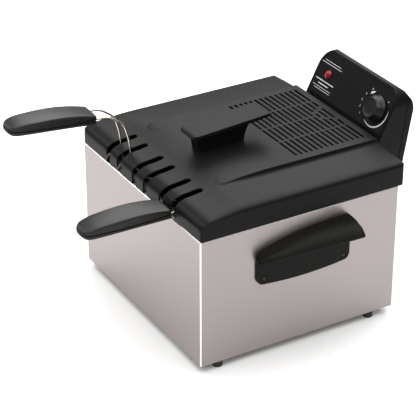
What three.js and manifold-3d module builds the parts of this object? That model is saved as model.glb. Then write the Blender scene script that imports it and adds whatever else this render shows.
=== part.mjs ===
// Deep fryer with two lift-out baskets, an immersion heating element and a leaning rear control head.
// Millimetres, +Z up, +Y to the rear (control head), -Y to the front (basket handles), floor at z = 0.
// The working frame has x = 0 on the centre plane and y = 0 on the housing's front face. At the end the
// whole group moves along Y so that its bounding box is centred.
import * as THREE from "three";
import { mergeVertices } from "three/addons/utils/BufferGeometryUtils.js";
import { ConvexGeometry } from "three/addons/geometries/ConvexGeometry.js";
import Module from "manifold-3d";

const wasm = await Module();
wasm.setup();

// ---------------------------------------------------------------- driving dimensions
const GAP = 0.3; // clearance between pieces that touch on the real object
const SHEET = 1.5; // sheet-metal thickness

const HOUSING = { halfWidth: 165, depth: 310, bottom: 11, top: 201, corner: 2, flange: 11, mouthCorner: 5 };
const POT = {
  halfWidth: 143, front: 16, rear: 294, floor: 30, corner: 26,
  rimHalfWidth: 157, rimFront: 5, rimRear: 305, rimCorner: 12,
};
const FOOT = { radius: 7, x: 156, frontY: 31, rearY: 275, stem: 3.2 };

const LID = {
  halfWidth: 166.5, front: 0.5, rear: 317, bottom: 202, wall: 2.5, corner: 7,
  frontTop: 229.5, edgeTop: 234, crownTop: 239.5, platformTop: 243, platformHalfWidth: 103, platformFront: 66,
};
const SLOT = { width: 10, rearEnd: 45.5, spread: 15.75 };
const BASKET_X = 75.25; // each basket's centre plane, also the centre of its pair of lid slots
// Vent slits in rows; three straight ribs break each row, and the rearmost rows have a V of two wider ribs.
const VENT = {
  halfWidth: 88, frontY: 192, rows: 14, pitch: 8.4, slit: 3.6,
  ribX: 43, rib: 3.6, veeRows: 3, veeRib: 7.2, veeTip: 9.4, veeStep: 5.4,
};
const LID_HANDLE = {
  halfWidth: 21, front: 72, rear: 197, frontBottom: 264, rearBottom: 273, rearTop: 277.5,
  stemHalfWidth: 11, stemFront: 88, stemRear: 158, screwY: [102, 144],
};

const BASKET = { halfWidth: 62, length: 200, height: 77, corner: 20, sheet: 1.2, rim: 3 };
const WIRE = 1.5; // radius of the basket's bent wires
const WIRE_OFFSET = 1.7; // handle wires and hook wires lie this far either side of a slot's centre
const GRIP = { halfWidth: 20, length: 126, rearY: -67, z: 81 };
const RAISED = { y: 28.2, z: 202.2, tilt: THREE.MathUtils.degToRad(5) };
const LOWERED = { y: 65, z: 128 };

const LEAN = THREE.MathUtils.degToRad(27);
const HEAD = { halfWidth: 93, wall: 2.5, corner: 28, panelY: 325, panelZ: 231, bottom: 165, top: 300 };
const PANEL = { halfWidth: 89, bottom: -2, top: 70.5, corner: 21, thickness: 1.2 };
const INLET = { x: 45, z: 213, halfWidth: 19, halfHeight: 11, pinSpacing: 14, pinRadius: 1.6 };
const BUTTON = { x: -45, z: 213, radius: 5, flange: 6.5 };
const KNOB = { x: 60.5, v: 37.5, radius: 20, height: 12, shaft: 3 };
const LENS = { x: -61, v: 41.5, radius: 6.8 };

const ELEMENT = { radius: 4, bend: 10.5, legX: 30, topZ: 210, legY: 283, floorZ: 37, reach: 112, frontY: 62 };
const BULB = { radius: 2.6, bend: 9, bottomZ: 60 }; // the thermostat's sensing bulb
const SIDE_HANDLE = { front: 84, rear: 230, bottom: 113, bow: 3.5, corner: 12, plateTop: 160, plate: 4 };

// ---------------------------------------------------------------- materials
function material(colour, roughness, metalness) {
  return new THREE.MeshStandardMaterial({ color: colour, roughness, metalness });
}
const brushedSteel = material(0xc9c2c0, 0.35, 1);
const bareSteel = material(0xb4b1ad, 0.3, 1);
const darkScrew = material(0x2a2a2a, 0.4, 0.6);
const nickelWire = material(0xbfb8a8, 0.25, 1);
const darkEnamel = material(0x2c2c2e, 0.4, 0.2);
const lidPlastic = material(0x353436, 0.5, 0);
const blackPlastic = material(0x1d1d1e, 0.45, 0);
const glossPanel = material(0x121214, 0.12, 0);
const rubber = material(0x161616, 0.85, 0);
const redLens = material(0xc01420, 0.15, 0);
const elementSteel = material(0x6f6a66, 0.45, 1);
const phenolic = material(0x5b3a24, 0.6, 0);
const brass = material(0xb5923f, 0.35, 1);

// ---------------------------------------------------------------- solids and placing
const X = new THREE.Vector3(1, 0, 0);
const Y = new THREE.Vector3(0, 1, 0);
const Z = new THREE.Vector3(0, 0, 1);

// A closed three.js geometry as a manifold-3d solid.
function solid(geometry) {
  const bare = geometry.clone();
  for (const name of Object.keys(bare.attributes)) {
    if (name !== "position") bare.deleteAttribute(name);
  }
  const merged = mergeVertices(bare, 1e-3);
  return new wasm.Manifold(new wasm.Mesh({
    numProp: 3,
    vertProperties: merged.attributes.position.array,
    triVerts: new Uint32Array(merged.index.array),
  }));
}

function geometryOf(body) {
  const out = body.getMesh();
  return new THREE.BufferGeometry()
    .setAttribute("position", new THREE.BufferAttribute(new Float32Array(out.vertProperties), 3))
    .setIndex(new THREE.BufferAttribute(new Uint32Array(out.triVerts), 1));
}

function piece(parent, name, body, finish) {
  const mesh = new THREE.Mesh(geometryOf(body), finish);
  mesh.name = name;
  parent.add(mesh);
  return mesh;
}

const sum = (bodies) => bodies.reduce((all, next) => all.add(next));

function box(x0, x1, y0, y1, z0, z1) {
  const geometry = new THREE.BoxGeometry(x1 - x0, y1 - y0, z1 - z0);
  return solid(geometry.translate((x0 + x1) / 2, (y0 + y1) / 2, (z0 + z1) / 2));
}

function roundedRect(x0, x1, y0, y1, radius) {
  const shape = new THREE.Shape();
  shape.absarc(x1 - radius, y1 - radius, radius, 0, Math.PI / 2);
  shape.absarc(x0 + radius, y1 - radius, radius, Math.PI / 2, Math.PI);
  shape.absarc(x0 + radius, y0 + radius, radius, Math.PI, Math.PI * 1.5);
  shape.absarc(x1 - radius, y0 + radius, radius, Math.PI * 1.5, Math.PI * 2);
  return shape;
}

const outline = (points) => new THREE.Shape(points.map(([u, v]) => new THREE.Vector2(u, v)));

function extruded(shape, depth, curveSegments = 3) {
  return new THREE.ExtrudeGeometry(shape, { depth, bevelEnabled: false, curveSegments });
}

// A plan outline (x, y) standing from z0 to z1.
const prismZ = (shape, z0, z1, segments) => solid(extruded(shape, z1 - z0, segments).translate(0, 0, z0));

// A side outline (y, z) running from x0 to x1.
function prismX(shape, x0, x1, segments) {
  const turn = new THREE.Matrix4().makeBasis(Y, Z, X).setPosition(x0, 0, 0);
  return solid(extruded(shape, x1 - x0, segments).applyMatrix4(turn));
}

// A front outline (x, z) running from y0 to y1.
function prismY(shape, y0, y1, segments) {
  const turn = new THREE.Matrix4().makeBasis(X, Z, Y.clone().negate()).setPosition(0, y1, 0);
  return solid(extruded(shape, y1 - y0, segments).applyMatrix4(turn));
}

// A round bar between two points.
function rod(radius, from, to, sides = 10) {
  const start = new THREE.Vector3(...from);
  const way = new THREE.Vector3(...to).sub(start);
  const geometry = new THREE.CylinderGeometry(radius, radius, way.length(), sides);
  geometry.translate(0, way.length() / 2, 0);
  geometry.applyQuaternion(new THREE.Quaternion().setFromUnitVectors(Y, way.clone().normalize()));
  return solid(geometry.translate(start.x, start.y, start.z));
}

// A body of revolution about an axis: profile points are [radius, height along the axis].
function turned(profile, at, axis, sides = 16) {
  const geometry = new THREE.LatheGeometry(profile.map(([r, h]) => new THREE.Vector2(r, h)), sides);
  geometry.applyQuaternion(new THREE.Quaternion().setFromUnitVectors(Y, axis));
  return solid(geometry.translate(...at));
}

function circle(radius, sides) {
  const turns = Array.from({ length: sides }, (_, i) => (i / sides) * Math.PI * 2);
  return outline(turns.map((turn) => [radius * Math.cos(turn), radius * Math.sin(turn)]));
}

// A path that an extrusion samples only at the given points.
class Bends extends THREE.Curve {
  constructor(points) {
    super();
    this.points = points;
    this.steps = points.length - 1;
  }

  getPointAt(u) {
    return this.points[Math.round(u * this.steps)].clone();
  }

  getTangentAt(u) {
    const i = Math.round(u * this.steps);
    const before = this.points[Math.max(i - 1, 0)];
    const after = this.points[Math.min(i + 1, this.steps)];
    return after.clone().sub(before).normalize();
  }
}

// A wire or tube through corners, each corner rounded over `bend` millimetres each side of it.
function bentTube(points, radius, bend, sides = 6, perBend = 2) {
  const corners = points.map((p) => new THREE.Vector3(...p));
  const path = [corners[0]];
  for (let i = 1; i < corners.length - 1; i++) {
    const [before, after] = [corners[i - 1], corners[i + 1]].map((next) => {
      return corners[i].clone().lerp(next, bend / corners[i].distanceTo(next));
    });
    path.push(...new THREE.QuadraticBezierCurve3(before, corners[i], after).getPoints(perBend));
  }
  path.push(corners.at(-1));
  const extrudePath = new Bends(path);
  const settings = { steps: extrudePath.steps, extrudePath, bevelEnabled: false };
  return solid(new THREE.ExtrudeGeometry(circle(radius, sides), settings));
}

// A pan-head screw whose head's outer face is at `at`; axis points out of the head.
function screw(at, axis, length, radius = 3.4) {
  const shank = radius * 0.45;
  const profile = [[0, -length], [shank, -length], [shank, -2], [radius, -2], [radius * 0.8, 0], [0, 0]];
  return turned(profile, at, axis, 8);
}

const fryer = new THREE.Group();

// ---------------------------------------------------------------- housing, base and feet
function makeHousing() {
  const { halfWidth: w, depth, bottom, top, corner, flange, mouthCorner } = HOUSING;
  const inside = roundedRect(-w + SHEET, w - SHEET, SHEET, depth - SHEET, corner - SHEET);
  const mouth = roundedRect(-w + flange, w - flange, flange, depth - flange, mouthCorner);
  const skin = prismZ(roundedRect(-w, w, 0, depth, corner), bottom, top)
    .subtract(prismZ(inside, bottom - 1, top - SHEET))
    .subtract(prismZ(mouth, bottom, top + 1));
  piece(fryer, "outer_housing", skin, brushedSteel);

  const inset = SHEET + GAP;
  const plateBottom = bottom + 0.5;
  const plateTop = plateBottom + SHEET;
  const plan = roundedRect(-w + inset, w - inset, inset, depth - inset, corner - SHEET);
  let plate = prismZ(plan, plateBottom, plateTop);
  for (const y of [FOOT.frontY, FOOT.rearY]) {
    for (const x of [-FOOT.x, FOOT.x]) {
      plate = plate.subtract(rod(FOOT.stem + GAP, [x, y, 0], [x, y, 30], 12));
    }
  }
  const louvre = { count: 5, front: 110, pitch: 22, width: 6, halfLength: 60 };
  for (let i = 0; i < louvre.count; i++) {
    const y = louvre.front + i * louvre.pitch;
    plate = plate.subtract(box(-louvre.halfLength, louvre.halfLength, y, y + louvre.width, 0, 30));
  }
  piece(fryer, "base_plate", plate, bareSteel);

  const { radius, stem } = FOOT;
  const [under, over] = [plateBottom - GAP, plateTop + 3];
  const tread = [[0, 0], [radius - 1, 0], [radius, 1.5], [radius, under]];
  const profile = [...tread, [stem, under], [stem, over], [0, over]];
  for (const [end, y] of [["front", FOOT.frontY], ["rear", FOOT.rearY]]) {
    for (const [side, sign] of [["left", -1], ["right", 1]]) {
      piece(fryer, `foot_${end}_${side}`, turned(profile, [sign * FOOT.x, y, 0], Z, 12), rubber);
    }
  }
}

// ---------------------------------------------------------------- removable oil pot
function makePot() {
  const { halfWidth: w, front, rear, floor, corner, rimHalfWidth, rimFront, rimRear, rimCorner } = POT;
  const rimBottom = HOUSING.top + GAP;
  const rimTop = rimBottom + SHEET;
  const outside = roundedRect(-w - SHEET, w + SHEET, front - SHEET, rear + SHEET, corner + SHEET);
  const outer = prismZ(outside, floor - SHEET, rimTop);
  const flange = roundedRect(-rimHalfWidth, rimHalfWidth, rimFront, rimRear, rimCorner);
  const rim = prismZ(flange, rimBottom, rimTop);
  const hollow = prismZ(roundedRect(-w, w, front, rear, corner), floor, rimTop + 1);
  piece(fryer, "oil_pot", outer.add(rim).subtract(hollow), darkEnamel);
}

// ---------------------------------------------------------------- side carrying handles
// Each is a wall plate with a hood over the fingers; the hood grows towards the rear. A section gives the
// height where the hood meets the wall, how far it reaches out, and the height of its outer lip.
const HOOD = { shell: 3.5, pocket: 40, wallDrop: 14, lipDrop: 5.6 };
const HOOD_SECTIONS = [
  { y: 84.5, wallTop: 161, reach: 19, lip: 160 },
  { y: 118, wallTop: 170.5, reach: 26, lip: 163 },
  { y: 160, wallTop: 178, reach: 33, lip: 166 },
  { y: 229, wallTop: 181.5, reach: 41, lip: 170 },
];
const WALL = HOUSING.halfWidth + GAP;

// The hood between two sections: its upper curve drawn in by `inset`, closed below by a flat floor.
function hoodSpan(sections, inset, wallDrop, lipDrop, sign) {
  const corners = sections.flatMap(({ y, wallTop, reach, lip }) => {
    const drop = wallTop - lip;
    const edge = reach - inset;
    return [
      [0, y, wallTop - inset],
      [reach * 0.45, y, wallTop - 1.5 - inset * 0.9],
      [reach * 0.75, y, wallTop - drop * 0.45 - inset],
      [edge, y, lip - 3],
      [0, y, wallTop - wallDrop],
      [edge, y, lip - lipDrop],
    ];
  });
  const points = corners.map(([out, y, z]) => new THREE.Vector3(sign * (WALL + out), y, z));
  return solid(new ConvexGeometry(points));
}

// The wall plate's outline (y, z), its lower edge bowed down.
function handlePlate() {
  const { front, rear, bottom, bow, corner, plateTop } = SIDE_HANDLE;
  const shape = new THREE.Shape();
  shape.moveTo(front, plateTop);
  shape.lineTo(front, bottom + corner);
  shape.quadraticCurveTo(front, bottom, front + corner, bottom);
  shape.quadraticCurveTo((front + rear) / 2, bottom - 2 * bow, rear - corner, bottom);
  shape.quadraticCurveTo(rear, bottom, rear, bottom + corner);
  shape.lineTo(rear, plateTop);
  return shape;
}

function makeSideHandle(side, sign) {
  const { front, rear, bottom, plateTop, plate } = SIDE_HANDLE;
  const { shell, pocket, wallDrop, lipDrop } = HOOD;
  const last = HOOD_SECTIONS.length - 1;
  const drawnIn = HOOD_SECTIONS.map((section, i) => {
    const endWall = i === 0 ? 3 : i === last ? -3 : 0;
    return { ...section, y: section.y + endWall };
  });
  const spans = (sections, inset, low, lipLow) => sum(sections.slice(1).map((section, i) => {
    return hoodSpan([sections[i], section], inset, low, lipLow, sign);
  }));
  const shells = spans(HOOD_SECTIONS, 0, wallDrop, lipDrop);
  const hollows = spans(drawnIn, shell, pocket, pocket * 0.4);
  const [near, far] = sign > 0 ? [WALL, WALL + plate] : [-WALL - plate, -WALL];
  const back = prismX(handlePlate(), near, far);
  const join = box(near, far, front + 3, rear - 1, plateTop - 14, plateTop + 1).intersect(shells);
  let body = shells.subtract(hollows).add(back).add(join);
  const screwZ = bottom + 9;
  const screws = [["front", front + 11], ["rear", rear - 11]];
  const out = new THREE.Vector3(sign, 0, 0);
  const hole = (radius, y, from, to) => {
    return rod(radius, [sign * (WALL + from), y, screwZ], [sign * (WALL + to), y, screwZ], 12);
  };
  for (const [, y] of screws) {
    body = body.subtract(hole(4, y, plate - 1.6, plate + 30)).subtract(hole(1.9, y, -1, plate));
  }
  piece(fryer, `${side}_side_handle`, body, blackPlastic);
  for (const [end, y] of screws) {
    const head = [sign * (WALL + plate + 0.8), y, screwZ];
    piece(fryer, `${side}_side_handle_screw_${end}`, screw(head, out, plate + 0.6), darkScrew);
  }
}

// ---------------------------------------------------------------- lid
// The lid's outer skin, drawn in by `inset` on every side for its inner skin.
function lidForm(inset) {
  const { halfWidth, front, rear, bottom, corner, frontTop, edgeTop, crownTop } = LID;
  const { platformHalfWidth, platformFront, platformTop } = LID;
  const w = halfWidth - inset;
  const low = bottom - (inset ? 1 : 0);
  const plan = prismZ(roundedRect(-w, w, front + inset, rear - inset, corner - inset), low, platformTop, 4);
  const side = new THREE.Shape();
  side.moveTo(front + inset, low);
  side.lineTo(front + inset, frontTop - 14.5);
  side.quadraticCurveTo(front + inset + 1.5, frontTop - 2 - inset, 25, frontTop - inset);
  side.quadraticCurveTo(46, frontTop + 1.5 - inset, platformFront + 2, crownTop - 1.5 - inset);
  side.lineTo(platformFront + 24, crownTop - inset);
  side.lineTo(rear - inset - 3, crownTop - inset);
  side.lineTo(rear - inset, crownTop - 3 - inset);
  side.lineTo(rear - inset, low);
  const sideForm = prismX(side, -w, w, 7);
  const across = new THREE.Shape();
  across.moveTo(-w, low);
  across.lineTo(-w, edgeTop - 6 - inset);
  across.quadraticCurveTo(-w, edgeTop - inset, -w + 7, edgeTop + 0.8 - inset);
  across.lineTo(-platformHalfWidth - 2, crownTop - inset);
  across.lineTo(platformHalfWidth + 2, crownTop - inset);
  across.lineTo(w - 7, edgeTop + 0.8 - inset);
  across.quadraticCurveTo(w, edgeTop - inset, w, edgeTop - 6 - inset);
  across.lineTo(w, low);
  const acrossForm = prismY(across, front, rear, 4);
  const cover = plan.intersect(sideForm).intersect(acrossForm);
  const px = platformHalfWidth - inset;
  const step = roundedRect(-px, px, platformFront + inset, rear - inset, 9);
  const platform = prismZ(step, crownTop - 12, platformTop - inset);
  return cover.add(platform);
}

// The slits: each row runs across the lid and is broken by its ribs.
function ventCuts() {
  const { halfWidth, frontY, rows, pitch, slit, ribX, rib, veeRows, veeRib, veeTip, veeStep } = VENT;
  const cuts = [];
  for (let row = 0; row < rows; row++) {
    const y = frontY + row * pitch;
    const veeRow = row - (rows - veeRows);
    const vee = veeTip + veeRow * veeStep;
    const middle = veeRow < 0 ? [[0, rib]] : [[-vee, veeRib], [vee, veeRib]];
    const ribs = [[-ribX, rib], ...middle, [ribX, rib]];
    const stops = [-halfWidth, ...ribs.flatMap(([x, width]) => [x - width / 2, x + width / 2]), halfWidth];
    for (let i = 0; i < stops.length; i += 2) {
      cuts.push(box(stops[i], stops[i + 1], y, y + slit, LID.bottom, LID.platformTop + 1));
    }
  }
  return sum(cuts);
}

// Open-ended slots in the lid's front edge, one for each wire of a basket's handle.
function slotCuts() {
  const half = SLOT.width / 2;
  const centres = [-BASKET_X, 0, BASKET_X].flatMap((x) => [x - SLOT.spread, x + SLOT.spread]);
  return sum(centres.map((x) => {
    const plan = roundedRect(x - half, x + half, LID.front - 10, SLOT.rearEnd, half - 0.01);
    return prismZ(plan, LID.bottom - 5, LID.platformTop + 5, 3);
  }));
}

function makeLid(parent) {
  const notch = box(-52, 52, LID.rear - 8, LID.rear + 5, LID.bottom - 5, 227); // for the element's bracket
  let lid = lidForm(0).subtract(lidForm(LID.wall)).subtract(ventCuts()).subtract(slotCuts()).subtract(notch);
  const under = LID.platformTop - LID.wall;
  for (const y of LID_HANDLE.screwY) {
    lid = lid.subtract(rod(2.2, [0, y, under - 5], [0, y, LID.platformTop + 5], 12));
  }
  piece(parent, "lid", lid, lidPlastic);
  piece(parent, "lid_handle", lidHandleForm(), lidPlastic);
  LID_HANDLE.screwY.forEach((y, i) => {
    const head = [0, y, under - GAP - 2.2];
    piece(parent, `lid_handle_screw_${i + 1}`, screw(head, Z.clone().negate(), 16), bareSteel);
  });
  makeVentFilter(parent);
}

// A bar on a narrower stem; the bar rises a little to the rear and overhangs the stem at both ends.
function lidHandleForm() {
  const { halfWidth, front, rear, frontBottom, rearBottom, rearTop } = LID_HANDLE;
  const { stemHalfWidth, stemFront, stemRear, screwY } = LID_HANDLE;
  const foot = LID.platformTop + GAP;
  const bar = new THREE.Shape();
  bar.moveTo(front + 2, frontBottom + 0.5);
  bar.quadraticCurveTo(front - 1, frontBottom + 4, front + 8, frontBottom + 5.5);
  bar.lineTo(rear - 6, rearTop);
  bar.quadraticCurveTo(rear, rearTop, rear, rearBottom);
  bar.lineTo(stemRear + 14, rearBottom - 3);
  bar.lineTo(stemFront - 4, frontBottom);
  const plan = prismZ(roundedRect(-halfWidth, halfWidth, front - 1, rear + 1, 12), foot, rearTop + 5, 6);
  const stem = new THREE.Shape();
  stem.moveTo(stemFront, foot);
  stem.lineTo(stemFront - 6, frontBottom + 2);
  stem.lineTo(stemRear + 16, rearBottom - 1);
  stem.quadraticCurveTo(stemRear, frontBottom - 2, stemRear, foot);
  const post = prismX(stem, -stemHalfWidth, stemHalfWidth, 4);
  const holes = sum(screwY.map((y) => rod(1.9, [0, y, foot - 5], [0, y, foot + 13], 12)));
  return prismX(bar, -halfWidth, halfWidth, 4).intersect(plan).add(post).subtract(holes);
}

// A pad under the vents, held up by a barred frame.
function makeVentFilter(parent) {
  const top = LID.crownTop - LID.wall - GAP;
  const padBottom = top - 5;
  const [frameTop, frameBottom] = [padBottom - GAP, padBottom - 3];
  piece(parent, "vent_filter", prismZ(roundedRect(-78, 78, 205, 290, 6), padBottom, top, 3), rubber);
  const bars = sum([-36, 0, 36].map((x) => box(x - 2, x + 2, 205, 290, frameBottom, frameTop)));
  const frame = prismZ(roundedRect(-84, 84, 199, 296, 8), frameBottom, frameTop, 3)
    .subtract(prismZ(roundedRect(-72, 72, 211, 284, 5), frameBottom - 1, top, 3))
    .add(bars);
  piece(parent, "filter_retainer", frame, blackPlastic);
}

// ---------------------------------------------------------------- baskets
// A basket's own frame: x = 0 on its centre plane, y = 0 on the front of its tub, z = 0 at its rim.
function gripForm() {
  const { halfWidth, length, rearY, z } = GRIP;
  const side = new THREE.Shape();
  side.moveTo(rearY, z - 7);
  side.lineTo(rearY, z + 7);
  side.quadraticCurveTo(rearY - 22, z + 11, rearY - 43, z + 12.5);
  side.quadraticCurveTo(rearY - 66, z + 14, rearY - 84, z + 11.5);
  side.quadraticCurveTo(rearY - 108, z + 9, rearY - length + 1.5, z + 3.5);
  side.quadraticCurveTo(rearY - length - 1, z - 2, rearY - length + 6, z - 6.5);
  side.quadraticCurveTo(rearY - 60, z - 5, rearY, z - 7);
  const plan = new THREE.Shape();
  const tip = rearY - length;
  plan.moveTo(halfWidth - 1, rearY);
  plan.lineTo(-halfWidth + 1, rearY);
  plan.quadraticCurveTo(-halfWidth - 2, rearY - 60, -halfWidth + 2, tip + 14);
  plan.quadraticCurveTo(-halfWidth + 3, tip, 0, tip);
  plan.quadraticCurveTo(halfWidth - 3, tip, halfWidth - 2, tip + 14);
  plan.quadraticCurveTo(halfWidth + 2, rearY - 60, halfWidth - 1, rearY);
  return prismX(side, -halfWidth - 5, halfWidth + 5, 5).intersect(prismZ(plan, z - 30, z + 30, 5));
}

// A wire that runs through `path` on one side, across, and back through it on the other side.
function wirePair(path, halfSpread, bend) {
  const onSide = (x) => path.map(([y, z]) => [x, y, z]);
  return bentTube([...onSide(-halfSpread), ...onSide(halfSpread).reverse()], WIRE, bend);
}

function makeBasket(parent, side) {
  const { halfWidth: w, length, height, corner, sheet, rim } = BASKET;
  const inside = roundedRect(-w + sheet, w - sheet, sheet, length - sheet, corner - sheet);
  const outside = roundedRect(-w, w, 0, length, corner);
  const tub = prismZ(outside, -height, 0).subtract(prismZ(inside, -height + sheet, 1));
  piece(parent, `${side}_basket_mesh`, tub, nickelWire);

  const around = (out) => roundedRect(-w - out, w + out, -out, length + out, corner + out);
  const ring = prismZ(around(GAP + rim), -rim, 0).subtract(prismZ(around(GAP), -rim - 1, 1));
  piece(parent, `${side}_basket_rim`, ring, nickelWire);

  const face = -GAP - rim - GAP - WIRE; // the wires run down in front of the rim
  const handleX = SLOT.spread - WIRE_OFFSET;
  const inGrip = [[GRIP.rearY - 14, GRIP.z], [GRIP.rearY + 20, GRIP.z]];
  const handlePath = [...inGrip, [-23, 67], [-14, 44], [face, 3], [face, -38]];
  piece(parent, `${side}_basket_handle_wire`, wirePair(handlePath, handleX, 9), nickelWire);

  const hookPath = [[-32, 1], [-26, 9.5], [-14, 9.5], [face, -3], [face, -45]];
  piece(parent, `${side}_basket_hooks`, wirePair(hookPath, SLOT.spread + WIRE_OFFSET, 4), nickelWire);
  makeGrip(parent, side, handleX);
}

// Two shells clamped on the handle wire by one screw from below.
function makeGrip(parent, side, handleX) {
  const { rearY, z } = GRIP;
  const channel = (x) => rod(WIRE + GAP, [x, rearY - 15, z], [x, rearY + 1, z], 8);
  const channels = channel(-handleX).add(channel(handleX));
  const screwY = rearY - 30;
  const screwHole = rod(1.9, [0, screwY, z - 20], [0, screwY, z + 8], 12)
    .add(rod(3.8, [0, screwY, z - 20], [0, screwY, z - 4.2], 12));
  const cut = gripForm().subtract(channels).subtract(screwHole);
  const slab = (low, high) => box(-50, 50, -300, 0, z + low, z + high);
  piece(parent, `${side}_grip_top`, cut.intersect(slab(GAP / 2, 50)), blackPlastic);
  piece(parent, `${side}_grip_bottom`, cut.intersect(slab(-50, -GAP / 2)), blackPlastic);
  piece(parent, `${side}_grip_screw`, screw([0, screwY, z - 6.6], Z.clone().negate(), 13), bareSteel);
}

// ---------------------------------------------------------------- control head
// The panel's own directions: v runs up the panel, out points away from it.
const panelUp = new THREE.Vector3(0, Math.sin(LEAN), Math.cos(LEAN));
const panelOut = new THREE.Vector3(0, -Math.cos(LEAN), Math.sin(LEAN));

function onPanel(x, v, out = 0) {
  const at = new THREE.Vector3(x, HEAD.panelY, HEAD.panelZ);
  return at.addScaledVector(panelUp, v).addScaledVector(panelOut, out).toArray();
}

// A panel outline (x, v) standing out of the panel's face from depth `from` to `to`.
function prismPanel(shape, from, to, segments) {
  const turn = new THREE.Matrix4().makeBasis(X, panelUp, panelOut).setPosition(...onPanel(0, 0, from));
  return solid(extruded(shape, to - from, segments).applyMatrix4(turn));
}

// Moves each side of a closed outline inwards by a distance.
function insetOutline(points, distance) {
  const count = points.length;
  const lines = points.map((p, i) => {
    const q = points[(i + 1) % count];
    const length = Math.hypot(q[0] - p[0], q[1] - p[1]);
    const along = [(q[0] - p[0]) / length, (q[1] - p[1]) / length];
    return { at: [p[0] - along[1] * distance, p[1] + along[0] * distance], along };
  });
  return lines.map((line, i) => {
    const before = lines[(i + count - 1) % count];
    const cross = before.along[0] * line.along[1] - before.along[1] * line.along[0];
    const gap = [line.at[0] - before.at[0], line.at[1] - before.at[1]];
    const t = (gap[0] * line.along[1] - gap[1] * line.along[0]) / cross;
    return [before.at[0] + before.along[0] * t, before.at[1] + before.along[1] * t];
  });
}

// Side outline (y, z), anticlockwise: belly behind the housing, the back, the crest, the leaning face.
const HEAD_SIDE = [
  [311, 165], [360, 165], [369, 190], [382.5, 269], [380.5, 281], [373, 293.3], [365, 299.8], [359.4, 298.6],
  [323.5, 228], [323.5, 192.5], [311, 192.5],
];
const SPLIT = { bottom: [355, 160], top: [377, 310] };

function headForm(inset) {
  const w = HEAD.halfWidth - inset;
  const side = prismX(outline(insetOutline(HEAD_SIDE, inset)), -w, w);
  const face = roundedRect(-w, w, HEAD.bottom + inset, HEAD.top - inset, HEAD.corner - inset);
  return side.intersect(prismY(face, 300, 400, 5));
}

// Where the rear cover's outer face lies along Y, at a height z.
function backAt(z) {
  const [low, knee, high] = [HEAD_SIDE[1], HEAD_SIDE[2], HEAD_SIDE[3]];
  const [a, b] = z < knee[1] ? [low, knee] : [knee, high];
  return a[0] + ((z - a[1]) / (b[1] - a[1])) * (b[0] - a[0]);
}

// Everything ahead of, or behind, the joint between the head's two shells.
function sideOfSplit(sign) {
  const far = sign < 0 ? 290 : 420;
  const joint = [SPLIT.bottom, SPLIT.top].map(([y, z]) => [y + (sign * GAP) / 2, z]);
  const corners = [[far, 150], [joint[0][0], 150], ...joint, [far, 310]];
  return prismX(outline(sign < 0 ? corners : corners.reverse()), -120, 120);
}

const panelHole = (radius, at) => rod(radius, onPanel(at.x, at.v, -20), onPanel(at.x, at.v, 10));
const acrossBack = (x, z, radius, from, to, sides) => rod(radius, [x, from, z], [x, to, z], sides);

function makeControlHead(parent) {
  const shell = headForm(0).subtract(headForm(HEAD.wall));
  const { halfWidth, bottom, top, corner, thickness } = PANEL;
  const pocket = prismPanel(roundedRect(-halfWidth, halfWidth, bottom, top, corner), -thickness - GAP, 5, 5);
  const openings = panelHole(4, KNOB).add(panelHole(LENS.radius - 1.5, LENS));
  const elementHoles = sum([[-ELEMENT.legX, ELEMENT.radius], [0, BULB.radius], [ELEMENT.legX, ELEMENT.radius]]
    .map(([x, radius]) => acrossBack(x, ELEMENT.topZ, radius + 0.5, 315, 335)));
  const front = shell.intersect(sideOfSplit(-1)).subtract(pocket).subtract(openings).subtract(elementHoles);
  piece(parent, "control_housing", front, blackPlastic);

  const sheet = roundedRect(-halfWidth + GAP, halfWidth - GAP, bottom + GAP, top - GAP, corner);
  piece(parent, "control_panel", prismPanel(sheet, -thickness, 0, 5).subtract(openings), glossPanel);

  makeRearCover(parent, shell);
  makePowerInlet(parent);
  makeResetButton(parent);
  makeSignalLight(parent);
  makeKnob(parent);

  const body = roundedRect(KNOB.x - 18, KNOB.x + 18, KNOB.v - 16, KNOB.v + 16, 3);
  piece(parent, "thermostat_body", prismPanel(body, -27, -9, 3), phenolic);
  piece(parent, "terminal_block", box(-22, 14, 338, 352, 222, 236), phenolic);
}

function makeRearCover(parent, shell) {
  const { x, z, halfWidth, halfHeight } = INLET;
  const window = roundedRect(x - halfWidth, x + halfWidth, z - halfHeight, z + halfHeight, 4);
  const inletCut = prismY(window, 340, 400, 3);
  const buttonCut = acrossBack(BUTTON.x, BUTTON.z, BUTTON.radius + 0.6, 340, 400);
  const screwsAt = [[-80, 180], [80, 180], [-70, 268], [70, 268]];
  const screwHoles = sum(screwsAt.map(([sx, sz]) => acrossBack(sx, sz, 1.9, backAt(sz) - 20, 400, 12)));
  const cover = shell.intersect(sideOfSplit(1)).subtract(inletCut).subtract(buttonCut).subtract(screwHoles);
  piece(parent, "control_rear_cover", cover, blackPlastic);
  screwsAt.forEach(([sx, sz], i) => {
    piece(parent, `rear_cover_screw_${i + 1}`, screw([sx, backAt(sz) + 3.4, sz], Y, 12, 3.2), bareSteel);
  });
}

function makePowerInlet(parent) {
  const { x, z, halfWidth, halfHeight, pinSpacing, pinRadius } = INLET;
  const frame = (inset, corner) => {
    const [w, h] = [halfWidth - inset, halfHeight - inset];
    return roundedRect(x - w, x + w, z - h, z + h, corner);
  };
  const pins = [["left", x - pinSpacing / 2], ["right", x + pinSpacing / 2]];
  const pinHoles = sum(pins.map(([, px]) => acrossBack(px, z, pinRadius + GAP, 350, 365)));
  const recess = prismY(frame(4, 2), 360, 380, 3);
  const socket = prismY(frame(0.5, 3.5), 356, 374.6, 3).subtract(recess).subtract(pinHoles);
  piece(parent, "power_inlet", socket, blackPlastic);
  for (const [side, px] of pins) {
    piece(parent, `inlet_pin_${side}`, acrossBack(px, z, pinRadius, 352, 371), brass);
  }
}

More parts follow.
